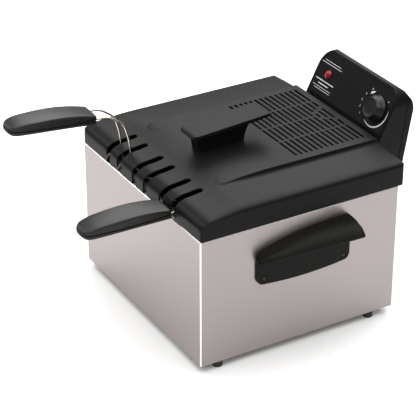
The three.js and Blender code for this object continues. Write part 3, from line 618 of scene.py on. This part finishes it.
def lines(low, high, step, wanted):
    """Sorted values from low to high with every wanted one, and no gap over step."""
    marks = sorted({round(v, 3) for v in wanted if low < v < high} | {low, high})
    out = []
    for a, b in zip(marks, marks[1:]):
        count = max(1, ceil((b - a) / step - 1e-6))
        out += [a + (b - a) * i / count for i in range(count)]
    return out + [high]


def vent_ribs(row):
    """The ribs that break a row of slits, as (centre, width); the rear rows have a V of two wide ones."""
    vee_row = row - (VENT_ROWS - VEE_ROWS)
    vee = VEE_TIP + VEE_STEP * vee_row
    middle = [(0, RIB)] if vee_row < 0 else [(-vee, VEE_RIB), (vee, VEE_RIB)]
    return [(-RIB_X, RIB), *middle, (RIB_X, RIB)]


def in_vent(x, y):
    row = (y - VENT_FRONT) / VENT_PITCH
    if not 0 <= row < VENT_ROWS or (row % 1) * VENT_PITCH > VENT_SLIT or abs(x) > VENT_HALF:
        return False
    return all(abs(x - centre) > width / 2 for centre, width in vent_ribs(int(row)))


def lid_lines():
    """The x and y of the lid's grid, close together at slots, vents, rolled edges and the platform."""
    arc = [(SLOT_HALF * cos(a), SLOT_HALF * sin(a)) for a in (0, pi / 6, pi / 3, pi / 2)]
    near = (0.15, 0.4, 0.8, SLOT_LIP)
    beside = [p[0] for p in arc] + [SLOT_HALF + n for n in near]
    xs = [slot + sign * v for slot in SLOTS for sign in (-1, 1) for v in beside]
    platform_sides = [82 + 3 * i for i in range(7)] + [100.6 + 0.5 * i for i in range(8)]
    xs += [sign * v for sign in (-1, 1) for v in (*platform_sides, VENT_HALF, NOTCH_HALF)]
    rib_rows = (0, *range(VENT_ROWS - VEE_ROWS, VENT_ROWS))
    xs += [c + sign * w / 2 for row in rib_rows for c, w in vent_ribs(row) for sign in (-1, 1)]
    ys = [SLOT_STRAIGHT + p[1] for p in arc] + [SLOT_STRAIGHT + SLOT_HALF + n for n in near]
    platform_front, front_roll = [52 + 2 * i for i in range(15)], [9.5, 11.5, 13, 15, 17.5, 20, 22.5, 25]
    ys += platform_front + front_roll
    ys += [VENT_FRONT + row * VENT_PITCH + d for row in range(VENT_ROWS) for d in (0, VENT_SLIT)]
    return lines(-FLAT_X, FLAT_X, 6, xs), lines(FLAT_FRONT, FLAT_REAR, 6, ys)


def lid_ring(inset, gx, gy):
    """The lid's outline at an inset, with a point for each line of its grid."""
    steps = 8
    r = LID_CORNER - inset
    x0, y0, y1 = LID_W - inset, LID_FRONT + inset, LID_REAR - inset
    runs = [[(x, y0) for x in gx], [(x0, y) for y in gy], [(x, y1) for x in reversed(gx)],
            [(-x0, y) for y in reversed(gy)]]
    centres = [(FLAT_X, FLAT_FRONT, -90), (FLAT_X, FLAT_REAR, 0), (-FLAT_X, FLAT_REAR, 90),
               (-FLAT_X, FLAT_FRONT, 180)]
    out = []
    for run, (cx, cy, start) in zip(runs, centres):
        out += run
        for k in range(1, steps):
            a = radians(start + 90 * k / steps)
            out.append((cx + r * cos(a), cy + r * sin(a)))
    return out


def make_lid():
    gx, gy = lid_lines()
    points = [(x, y, lid_height(x, y)) for y in gy for x in gx]
    faces = []
    wide = len(gx)
    for j in range(len(gy) - 1):
        for i in range(wide - 1):
            x, y = (gx[i] + gx[i + 1]) / 2, (gy[j] + gy[j + 1]) / 2
            if in_vent(x, y):
                continue
            a, b = j * wide + i, (j + 1) * wide + i
            corners = [a, a + 1, b + 1, b]
            kept = [k for k in corners if slot_distance(points[k][0], points[k][1]) > -1e-3]
            if slot_distance(x, y) > 0.02 or len(kept) == 4:
                faces.append(tuple(corners))
            elif len(kept) == 3:
                faces.append(tuple(kept))

    insets = (4, 3.2, 2.5, 1.8, 1.2, 0.8, 0.45, 0.2, 0.08, 0)
    levels = [0.93, 0.82, NOTCH_SHARE, 0.5, 0.3, 0.1, 0.0]
    notch_ring = len(insets) + levels.index(NOTCH_SHARE)
    rings = [[(x, y, lid_height(x, y)) for x, y in lid_ring(inset, gx, gy)] for inset in insets]
    rim = rings[-1]
    for level in levels:
        draw = 0.3 if level == 0 else 0
        rings.append([(x * (1 - draw / LID_W), y, LID_LOW + (z - LID_LOW) * level) for x, y, z in rim])
    base = len(points)
    size = len(rim)
    for loop in rings:
        points += loop
    for k in range(len(rings) - 1):
        for i in range(size):
            n = (i + 1) % size
            x, y = (rim[i][0] + rim[n][0]) / 2, (rim[i][1] + rim[n][1]) / 2
            if y < LID_FRONT + 0.01 and slot_distance(x, y) < 0:
                continue
            if y > LID_REAR - 0.01 and abs(x) < NOTCH_HALF and k >= notch_ring:
                continue
            upper, lower = base + k * size, base + (k + 1) * size
            faces.append((upper + i, upper + n, lower + n, lower + i))
    lid = mesh_of("vented_lid", points, faces)
    if sum(p.normal.z * p.area for p in lid.data.polygons) < 0:
        lid.data.flip_normals()
    shell = lid.modifiers.new("wall", "SOLIDIFY")
    shell.thickness = 2.4 * MM
    shell.offset = -1
    shell.use_even_offset = True
    dress(lid, LID_PLASTIC, "lid", "lid_plastic", "lid", edge=0.3, angle=50)


def make_lid_handle():
    foot, half, stem_half = 239.6, 21, 11
    top = [(74, 264.5)] + quad((74, 264.5), (70.6, 268), (80, 269.6), 8) + [(191, 277.4)]
    top += quad((191, 277.4), (197, 277.6), (197, 273.4), 6)
    under = [(172, 270.2), (84, 264.2)]
    bar = prism("lid_paddle", top + under, -half, half, along_x)
    plan = rounded_rect(-half, half, 71.4, 197, [13, 13, 4, 4], 10)
    cut(bar, prism("plan", plan, foot, 300, along_z), "INTERSECT")
    stem = [(88, foot)] + quad((88, foot), (86, 257), (81, 266), 8) + [(176, 272)]
    stem += quad((176, 272), (160, 264), (158, foot), 10)
    cut(bar, prism("stem", stem, -stem_half, stem_half, along_x), "UNION")
    dress(bar, LID_PLASTIC, "lid", "lid_plastic", "lid_handle", edge=1.1, angle=30)
    for i, y in enumerate((102, 144)):
        screw(f"lid_handle_screw_{i + 1}", work(0, y, 238.0), Vector((0, 0, -1)), 3.4, "lid")


def make_filter():
    loops = [rect_loop(84 - i, 198 + i, 304 - i, 6, z, 6) for i, z in
             ((0.8, 231.7), (0, 232.4), (0, 236.0), (0.8, 236.6))]
    pad = mesh_of("foam_filter", *loft(loops))
    dress(pad, FOAM, "lid", "filter_foam", "vent_filter", sharp=60)


# --- baskets
WIRE, HANDLE_WIRE_X, HOOK_X = 1.5, 14.05, 17.45
GRIP_REAR, GRIP_MID = -67, 81
GRIP_TOP = [(-193, 80.6), (-192.6, 82.2), (-191.5, 84.2), (-189, 86.2), (-184, 88.3), (-172, 91.0),
            (-151, 92.6), (-130, 93.6), (-110, 93.4), (-89, 91.6), (-67, 88.0)]
GRIP_LOW = [(-193, 79.6), (-192.4, 77.8), (-190.5, 75.8), (-187, 74.5), (-170, 74.6), (-140, 75.2),
            (-110, 75.1), (-67, 74.0)]
GRIP_HALF = [(-193, 1.5), (-192.8, 4), (-192.1, 7.5), (-191, 10.4), (-189.5, 13), (-187.5, 14.9),
             (-185.1, 16.5), (-179, 18), (-165, 19.2), (-140, 20.2), (-110, 20.2), (-67, 19)]


def grip_half(place, name, upper):
    """One of a grip's two shells, lofted from its tip to its rear end."""
    ys = [-193, -192.8, -192.4, -191.8, -191, -190, -188.7, -187, -185, -182.5, -179]
    ys += [-174 + 5 * i for i in range(21)] + [-69.5, -68, -67.3, GRIP_REAR]
    sign = 1 if upper else -1
    gap = 0.4 * sign
    rings = []
    for y in ys:
        inset = {-67.3: 0.25, GRIP_REAR: 0.9}.get(y, 0)
        half = smooth_curve(GRIP_HALF, y) - inset
        rise = max(abs(smooth_curve(GRIP_TOP if upper else GRIP_LOW, y) - GRIP_MID) - inset, 0.5)
        edge = min(2.2 if upper else 1.8, rise * 0.5, half * 0.7)
        groove = min(1.3, half * 0.4)
        lip = min(1.0, rise * 0.3)
        side = [(half - groove, gap), (half - groove, gap + sign * 0.15), (half - 0.12, sign * lip),
                (half, sign * (lip + 0.3))]
        draft = 0.5 if upper else 1.1
        crown = 0.5
        for i in range(7):
            a = pi / 2 * i / 6
            out, up = edge * (1 - cos(a)), edge * (1 - sin(a))
            side.append((half - draft - out, sign * (rise - crown - up)))
        side += [((half - draft - edge) * t, sign * (rise - crown * t ** 2)) for t in (0.75, 0.5, 0.25)]
        ring = side + [(0, sign * rise)] + [(-x, z) for x, z in reversed(side)]
        rings.append([(x, y, GRIP_MID + z) for x, z in ring])
    return mesh_of(name, *loft(rings), place)


def mesh_basket(place, side):
    """A wire-mesh tub: the mesh's lines follow its walls, and cross its floor as a grid."""
    half, length, corner, height, fall = 61.5, 199.5, 20, 76.4, 8
    across, along, bend = 17, 32, 6
    nx, ny = across + bend, along + bend

    def loop(inset, z):
        r = corner - inset
        x0, y0, y1 = half - inset, 0.5 + inset, length - inset
        out = []
        corners = [(x0 - r, y0 + r, -90), (x0 - r, y1 - r, 0), (-x0 + r, y1 - r, 90), (-x0 + r, y0 + r, 180)]
        runs = [((-x0 + r, y0), (x0 - r, y0), across), ((x0, y0 + r), (x0, y1 - r), along),
                ((x0 - r, y1), (-x0 + r, y1), across), ((-x0, y1 - r), (-x0, y0 + r), along)]
        for (a, b, count), (cx, cy, start) in zip(runs, corners):
            dx, dy = b[0] - a[0], b[1] - a[1]
            out += [(a[0] + dx * i / count, a[1] + dy * i / count, z) for i in range(count)]
            turns = [radians(start + 90 * k / bend) for k in range(bend)]
            out += [(cx + r * cos(t), cy + r * sin(t), z) for t in turns]
        return out

    rings = [loop(0, -2 - (height - fall - 2) * i / 13) for i in range(14)]
    for i in range(1, 4):
        a = pi / 2 * i / 3
        rings.append(loop(fall * (1 - cos(a)), -(height - fall) - fall * sin(a)))
    points, faces = loft(rings, capped=False)
    rim = rings[-1]
    size = len(rim)
    start = (size - bend // 2) % size
    border = [rim[(start + i) % size] for i in range(size)]
    low, right = border[:nx + 1], border[nx:nx + ny + 1]
    high = border[nx + ny:2 * nx + ny + 1][::-1]
    left = (border[2 * nx + ny:] + border[:1])[::-1]
    base = len(points)
    for j in range(ny + 1):
        v = j / ny
        for i in range(nx + 1):
            u = i / nx
            point = []
            for k in range(2):
                edges = (1 - v) * low[i][k] + v * high[i][k] + (1 - u) * left[j][k] + u * right[j][k]
                corners = ((1 - u) * (1 - v) * low[0][k] + u * (1 - v) * low[-1][k]
                           + (1 - u) * v * high[0][k] + u * v * high[-1][k])
                point.append(edges - corners)
            points.append((*point, rim[0][2]))
    for j in range(ny):
        for i in range(nx):
            a = base + j * (nx + 1) + i
            faces.append((a, a + 1, a + nx + 2, a + nx + 1))
    tub = mesh_of(f"{side}_wire_tub", points, faces, place)
    wires = tub.modifiers.new("wires", "WIREFRAME")
    wires.thickness = 0.95 * MM
    wires.use_even_offset = False
    wires.use_boundary = True
    return tub


def make_basket(side, place):
    body = f"{side}_basket"
    dress(mesh_basket(place, side), SHADED_WIRE, body, "nickel_wire", f"{side}_basket_mesh")
    ring = [(x, y, -WIRE) for x, y in rounded_rect(-63.8, 63.8, -1.8, 201.8, 21.8, 10)]
    rim = mesh_of(f"{side}_rim_wire", *tube(ring, WIRE, 12, closed=True), place)
    dress(rim, SHADED_WIRE, body, "nickel_wire", f"{side}_basket_rim")
    handle_path = [(-81, 81), (-47, 81), (-23, 67), (-14, 44), (-5.1, 3), (-5.1, -38)]
    hook_path = [(-32, 1), (-26, 9.5), (-14, 9.5), (-5.1, -3), (-5.1, -45)]
    for part, path, spread, bend, mat in (("handle_wire", handle_path, HANDLE_WIRE_X, 9, NICKEL),
                                          ("hooks", hook_path, HOOK_X, 4, SHADED_WIRE)):
        one = [(-spread, y, z) for y, z in path]
        other = [(spread, y, z) for y, z in reversed(path)]
        wire = mesh_of(f"{side}_bent_{part}", *tube(fillet(one + other, bend, 8), WIRE), place)
        dress(wire, mat, body, "nickel_wire", f"{side}_basket_{part}")
    top = grip_half(place, f"{side}_grip_upper", True)
    low = grip_half(place, f"{side}_grip_lower", False)
    screw_y = GRIP_REAR - 30
    cut(low, rod("recess", (0, screw_y, 60), (0, screw_y, 76.6), 3.9, place))
    for obj in (top, low):
        for x in (-HANDLE_WIRE_X, HANDLE_WIRE_X):
            start, end = (x, GRIP_REAR - 15.2, GRIP_MID), (x, GRIP_REAR + 10, GRIP_MID)
            cut(obj, rod("channel", start, end, WIRE + 0.25, place))
    dress(top, GRIP_PLASTIC, body, "black_plastic", f"{side}_grip_top", sharp=40)
    dress(low, GRIP_PLASTIC, body, "black_plastic", f"{side}_grip_bottom", sharp=40)
    face = place(0, screw_y, 74.4)
    axis = (place(0, screw_y, 73) - face).normalized()
    screw(f"{side}_grip_screw", face, axis, 3.4, body)


# --- control head
HEAD_SIDE = [(311, 165), (360, 165), (369, 190), (382.5, 269), (380.5, 281), (373, 293.3), (365, 299.8),
             (359.4, 298.6), (323.5, 228), (323.5, 192.5), (311, 192.5)]
HEAD_HALF, HEAD_LOW, HEAD_TOP, HEAD_CORNER = 93, 165, 300, 28
SEAM_LOW, SEAM_HIGH, SEAM_GAP = 355, 377, 0.15
KNOB_X, KNOB_V, LENS_X, LENS_V = 60.5, 37.5, -61, 41.5
PANEL_HOLES = [(KNOB_X, KNOB_V, 4), (LENS_X, LENS_V, 5.3)]
PANEL_CORNER = 21
PRINT_LAYER = (0.02, 0.14)


def inset_outline(points, distance):
    """Each side of an anticlockwise outline moved inwards."""
    moved = []
    count = len(points)
    sides = []
    for i, (u, v) in enumerate(points):
        p, q = points[(i + 1) % count]
        length = hypot(p - u, q - v)
        along = ((p - u) / length, (q - v) / length)
        sides.append(((u - along[1] * distance, v + along[0] * distance), along))
    for i, (at, along) in enumerate(sides):
        last_at, last = sides[i - 1]
        cross = last[0] * along[1] - last[1] * along[0]
        gap = (at[0] - last_at[0], at[1] - last_at[1])
        t = (gap[0] * along[1] - gap[1] * along[0]) / cross
        moved.append((last_at[0] + last[0] * t, last_at[1] + last[1] * t))
    return moved


def head_form(name, inset):
    w = HEAD_HALF - inset
    form = prism(name, inset_outline(HEAD_SIDE, inset), -w, w, along_x)
    r = HEAD_CORNER - inset
    face = rounded_rect(-w, w, HEAD_LOW + inset, HEAD_TOP - inset, r, 14)
    return cut(form, prism("face", face, 300, 400, along_y), "INTERSECT")


def make_head_shells():
    for sign, name, node in ((-1, "head_front_shell", "control_housing"),
                             (1, "head_rear_shell", "control_rear_cover")):
        shell = head_form(name, 0)
        cut(shell, head_form("inside", 2.5))
        low, high = SEAM_LOW + sign * SEAM_GAP, SEAM_HIGH + sign * SEAM_GAP
        far = 280 if sign < 0 else 430
        half = [(far, 150), (low, 150), (low, 160), (high, 310), (high, 330), (far, 330)]
        cut(shell, prism("half", half, -120, 120, along_x), "INTERSECT")
        if sign < 0:
            pocket = rounded_rect(-89, 89, -2, 70.5, PANEL_CORNER, 12)
            cut(shell, prism("pocket", pocket, -1.5, 5, along_z, panel))
            for x, v, r in PANEL_HOLES:
                cut(shell, rod("hole", (x, v, -20), (x, v, 10), r, panel))
            for x, r in ((-30, 4.5), (0, 3.1), (30, 4.5)):
                cut(shell, rod("hole", (x, 315, 210), (x, 335, 210), r))
        else:
            cut(shell, prism("inlet", rounded_rect(26, 64, 202, 224, 4, 6), 340, 400, along_y))
            cut(shell, rod("button", (-45, 340, 213), (-45, 400, 213), 5.6))
        dress(shell, BLACK_PLASTIC, "control_head", "black_plastic", node, edge=1.0, angle=28)


def back_at(z):
    """How far back the rear cover's face is at a height."""
    low, knee, high = HEAD_SIDE[1:4]
    a, b = (low, knee) if z < knee[1] else (knee, high)
    return a[0] + (z - a[1]) / (b[1] - a[1]) * (b[0] - a[0])


def print_plate(name, outline):
    """Flat white artwork on the panel, from an outline (x, v)."""
    dress(prism(name, outline, *PRINT_LAYER, along_z, panel), PRINT, "control_head", "panel_gloss")


def make_panel():
    outline = rounded_rect(-88.7, 88.7, -1.7, 70.2, PANEL_CORNER, 12)
    sheet = prism("panel_sheet", outline, -1.2, 0, along_z, panel)
    for x, v, r in PANEL_HOLES:
        cut(sheet, rod("hole", (x, v, -20), (x, v, 10), r, panel))
    dress(sheet, GLOSS, "control_head", "panel_gloss", "control_panel", edge=0.25, angle=40)

    rules = [(-81, -41, 59, 0.8), (-86, -37.5, 55.3, 0.8), (-85, -41, 29.6, 1.5), (-76, -51, 24.5, 1.5),
             (-86, -42, 19.8, 0.7), (-82, -42.5, 16.5, 0.7)]
    for i, (x0, x1, v, height) in enumerate(rules):
        rule = rounded_rect(x0, x1, v - height / 2, v + height / 2, height / 2.2, 3)
        print_plate(f"panel_rule_{i + 1}", rule)

    swoosh = mesh_of("dial_swoosh", *swoosh_mesh(), panel)
    dress(swoosh, PRINT, "control_head", "panel_gloss")
    circle = [2 * pi * i / 20 for i in range(20)]
    print_plate("dial_dot", [(78 + 0.9 * cos(a), 55 + 0.9 * sin(a)) for a in circle])
    turn = radians(35)
    c, s = cos(turn), sin(turn)
    leaf = [(5 * cos(a), 1.7 * sin(a) * (1 - 0.3 * cos(a))) for a in circle]
    print_plate("dial_leaf", [(41 + u * c - w * s, 55 + u * s + w * c) for u, w in leaf])
    for label, x, v in (("0", 38, 59), ("4", 29.4, 48.6), ("3", 25.6, 38.4), ("2", 27, 29), ("1", 32.4, 20)):
        digit(label, x, v)


def swoosh_mesh():
    """The thin crescent under the knob, in the panel's frame."""
    cx, cv, radius, start, sweep, half_width, count = 60.8, 37, 25.2, 238, 138, 1.15, 48
    rings = []
    for i in range(count + 1):
        t = i / count
        a = radians(start + sweep * t)
        half = half_width * sin(pi * min(1, t * 0.93 + 0.06)) ** 0.8
        outer, inner = ((cx + r * cos(a), cv + r * sin(a)) for r in (radius + half, radius - half))
        low, high = PRINT_LAYER
        rings.append([(*outer, low), (*outer, high), (*inner, high), (*inner, low)])
    return loft(rings)


def digit(label, x, v):
    """A number printed on the dial, centred on (x, v)."""
    name = f"dial_number_{label}"
    text = bpy.data.curves.new(name, "FONT")
    text.body = label
    text.size = 4.4
    text.align_x = "CENTER"
    text.align_y = "CENTER"
    text.extrude = 0.06
    text.resolution_u = 3
    letter = placed("letter", text)
    bpy.context.view_layer.update()
    mesh = bpy.data.meshes.new_from_object(letter.evaluated_get(bpy.context.evaluated_depsgraph_get()))
    bpy.data.objects.remove(letter)
    for vertex in mesh.vertices:
        vertex.co = panel(x + vertex.co.x, v + vertex.co.y, 0.09 + vertex.co.z)
    dress(placed(name, mesh), PRINT, "control_head", "panel_gloss")


def make_knob():
    def scallops(a, r, h):
        if not 2.5 < h < 11 or r < 12:
            return 0
        return -0.45 * (0.5 + 0.5 * cos(10 * a)) * sin(pi * (h - 2.5) / 8.5)

    def place(x, y, z):
        return panel(KNOB_X + x, KNOB_V + y, 0.8 + z)

    profile = [(0.01, 0), (19.4, 0), (19.9, 0.5), (20, 1.3), (19.8, 2.0), (19.2, 2.7), (18.7, 3.5),
               (18.3, 4.5), (17.8, 5.6), (17.3, 6.8), (16.7, 8.0), (16.0, 9.1), (15.3, 10.0), (14.6, 10.8),
               (14.2, 11.4), (13.8, 11.9), (13.3, 12.0), (12.8, 11.8), (12.4, 11.4), (12.0, 11.25),
               (7, 11.4), (0.01, 11.45)]
    knob = mesh_of("domed_knob", *lathe(profile, 180, scallops), place)
    cut(knob, rod("bore", (KNOB_X, KNOB_V, -2), (KNOB_X, KNOB_V, 9.8), 3.2, panel))
    dress(knob, KNOB_PLASTIC, "knob", "black_plastic", "thermostat_knob", sharp=50)


def make_lens():
    def place(x, y, z):
        return panel(LENS_X + x, LENS_V + y, z)

    profile = [(0.01, -4), (4.9, -4), (4.9, 0.3), (6.6, 0.3), (6.8, 0.6), (6.8, 1.2), (6.3, 1.7), (5.4, 2.9),
               (3.9, 3.9), (2.0, 4.5), (0.01, 4.6)]
    lens = mesh_of("faceted_lens", *lathe(profile, 12), place)
    dress(lens, RED_LENS, "control_head", "red_lens", "signal_lens", sharp=8)


def make_reset():
    y = back_at(213) + 0.5
    profile = [(0.01, -12), (6.5, -12), (6.5, -10), (5, -10), (5, 3.9), (4.7, 4.6), (4.0, 5), (3.2, 4.9),
               (0.01, 4.4)]
    cap = mesh_of("reset_cap", *lathe(profile, 36), lambda a, b, c: work(-45 + a, y + c, 213 + b))
    dress(cap, RESET_RED, "reset_button", "reset_red", "reset_button", sharp=40)


def make_inlet():
    socket = prism("inlet_socket", rounded_rect(26.5, 63.5, 202.5, 223.5, 3.5, 6), 356, 374.6, along_y)
    cut(socket, prism("recess", rounded_rect(30, 60, 206, 220, 2, 5), 360, 380, along_y))
    for x in (38, 52):
        cut(socket, rod("pin_hole", (x, 350, 213), (x, 365, 213), 1.9))
    dress(socket, BLACK_PLASTIC, "control_head", "black_plastic", "power_inlet", edge=0.5, angle=40)
    for side, x in (("left", 38), ("right", 52)):
        pin = mesh_of(f"{side}_pin", *tube([(x, 352, 213), (x, 371, 213)], 1.6, 20, ends=0.6))
        dress(pin, BRASS, "control_head", "inlet_brass", f"inlet_pin_{side}", sharp=50)


# --- element
def make_element():
    half = [(30, 334, 210), (30, 283, 210), (30, 283, 37), (30, 261, 37), (112, 261, 37), (112, 62, 37)]
    whole = [(-x, y, z) for x, y, z in half] + half[::-1]
    loop = mesh_of("heater_loop", *tube(fillet(whole, 10.5, 8), 4, 18))
    dress(loop, ELEMENT_STEEL, "control_head", "element_steel", "heating_element", sharp=60)
    drop = fillet([(0, 334, 210), (0, 283, 210), (0, 283, 60)], 9, 8)
    bulb = mesh_of("sensor_bulb", *tube(drop, 2.6, 16, ends=0.8))
    dress(bulb, BARE_STEEL, "control_head", "bare_steel", "thermostat_bulb", sharp=60)


# --- CAD nodes that stay
KEPT = {
    "base_plate": (BARE_STEEL, 0.3),
    "filter_retainer": (BLACK_PLASTIC, 0.5),
    "thermal_cutout": (PHENOLIC, 0.6),
    "signal_lamp": (LAMP_GLASS, 0.4),
    "thermostat_body": (PHENOLIC, 0.8),
    "terminal_block": (PHENOLIC, 0.6),
    "element_bracket": (BARE_STEEL, 0.3),
    "element_front_clip": (BARE_STEEL, 0.3),
    "knob_shaft": (BARE_STEEL, 0.3),
}


def dress_kept():
    for node, (mat, edge) in KEPT.items():
        obj = NODES[node]
        obj.data.materials.clear()
        obj.data.materials.append(mat)
        weld = obj.modifiers.new("weld", "WELD")
        weld.merge_threshold = 2e-5
        soften(obj, edge, 40, 2)


# --- build
make_housing()
make_pot()
make_side_handle("right", 1)
make_side_handle("left", -1)
make_lid()
make_lid_handle()
make_filter()
make_basket("left", raised)
make_basket("right", lowered)
make_head_shells()
make_panel()
make_knob()
make_lens()
make_reset()
make_inlet()
for i, (x, z) in enumerate(((-80, 180), (80, 180), (-70, 268), (70, 268))):
    screw(f"rear_cover_screw_{i + 1}", work(x, back_at(z) + 2.2, z), Vector((0, 1, 0)), 3.2, "control_head")
make_element()
dress_kept()


# --- studio
def make_stage():
    half = 9.0
    mesh = bpy.data.meshes.new("studio_floor")
    corners = ((-half, -half), (half, -half), (half, half), (-half, half))
    mesh.from_pydata([(x, y, 0) for x, y in corners], [], [(0, 1, 2, 3)])
    mesh.materials.append(surface(
        "floor_paper", (0.90, 0.90, 0.895), 0.8, spread=0.01, tone=2, grain=300, bump=0.02))
    floor = placed("studio_floor", mesh)


def area_light(name, where, aim, size, power):
    """A soft rectangular light, in metres and watts, that isn't seen itself."""
    light = bpy.data.lights.new(name, "AREA")
    light.shape = "RECTANGLE"
    light.size, light.size_y = size
    light.energy = power
    obj = placed(name, light)
    obj.location = where
    obj.rotation_euler = (Vector(aim) - Vector(where)).to_track_quat("-Z", "Y").to_euler()
    obj.visible_camera = False


def make_studio():
    make_stage()
    area_light("overhead", (0.2, -0.2, 2.8), (0, 0, 0.1), (4.6, 4.2), 160)
    area_light("back_sheen", (-1.9, 2.2, 2.6), (0, 0, 0.2), (4.4, 1.9), 112)
    area_light("left_fill", (-2.4, -1.3, 1.8), (0, 0, 0.12), (1.6, 1.0), 16)
    area_light("corner_fill", (1.35, -2.35, 0.6), (0, 0, 0.12), (0.9, 1.0), 8)
    world = bpy.data.worlds.new("studio")
    bpy.context.scene.world = world
    world.use_nodes = True
    background = world.node_tree.nodes["Background"]
    background.inputs["Color"].default_value = (0.99, 0.985, 0.98, 1)
    background.inputs["Strength"].default_value = 0.34
    bpy.context.scene.view_settings.view_transform = "Standard"


def make_camera():
    azimuth, elevation = radians(59.811), radians(28.926)
    back = Vector((sin(azimuth) * cos(elevation), -cos(azimuth) * cos(elevation), sin(elevation)))
    right = Vector((cos(azimuth), sin(azimuth), 0))
    up = back.cross(right)
    target = (HOUSING_LOW + HOUSING_HIGH) / 2
    distance, shift_left, shift_up = 2.4425, 0.04119, 0.02162
    camera = bpy.data.cameras.new("camera")
    camera.lens = 149.9
    camera.sensor_width = 36
    obj = placed("camera", camera)
    place = target + back * distance - right * shift_left + up * shift_up
    turn = Matrix((right, up, back)).transposed().to_4x4()
    obj.matrix_world = Matrix.Translation(place) @ turn
    bpy.context.scene.camera = obj


make_studio()
make_camera()
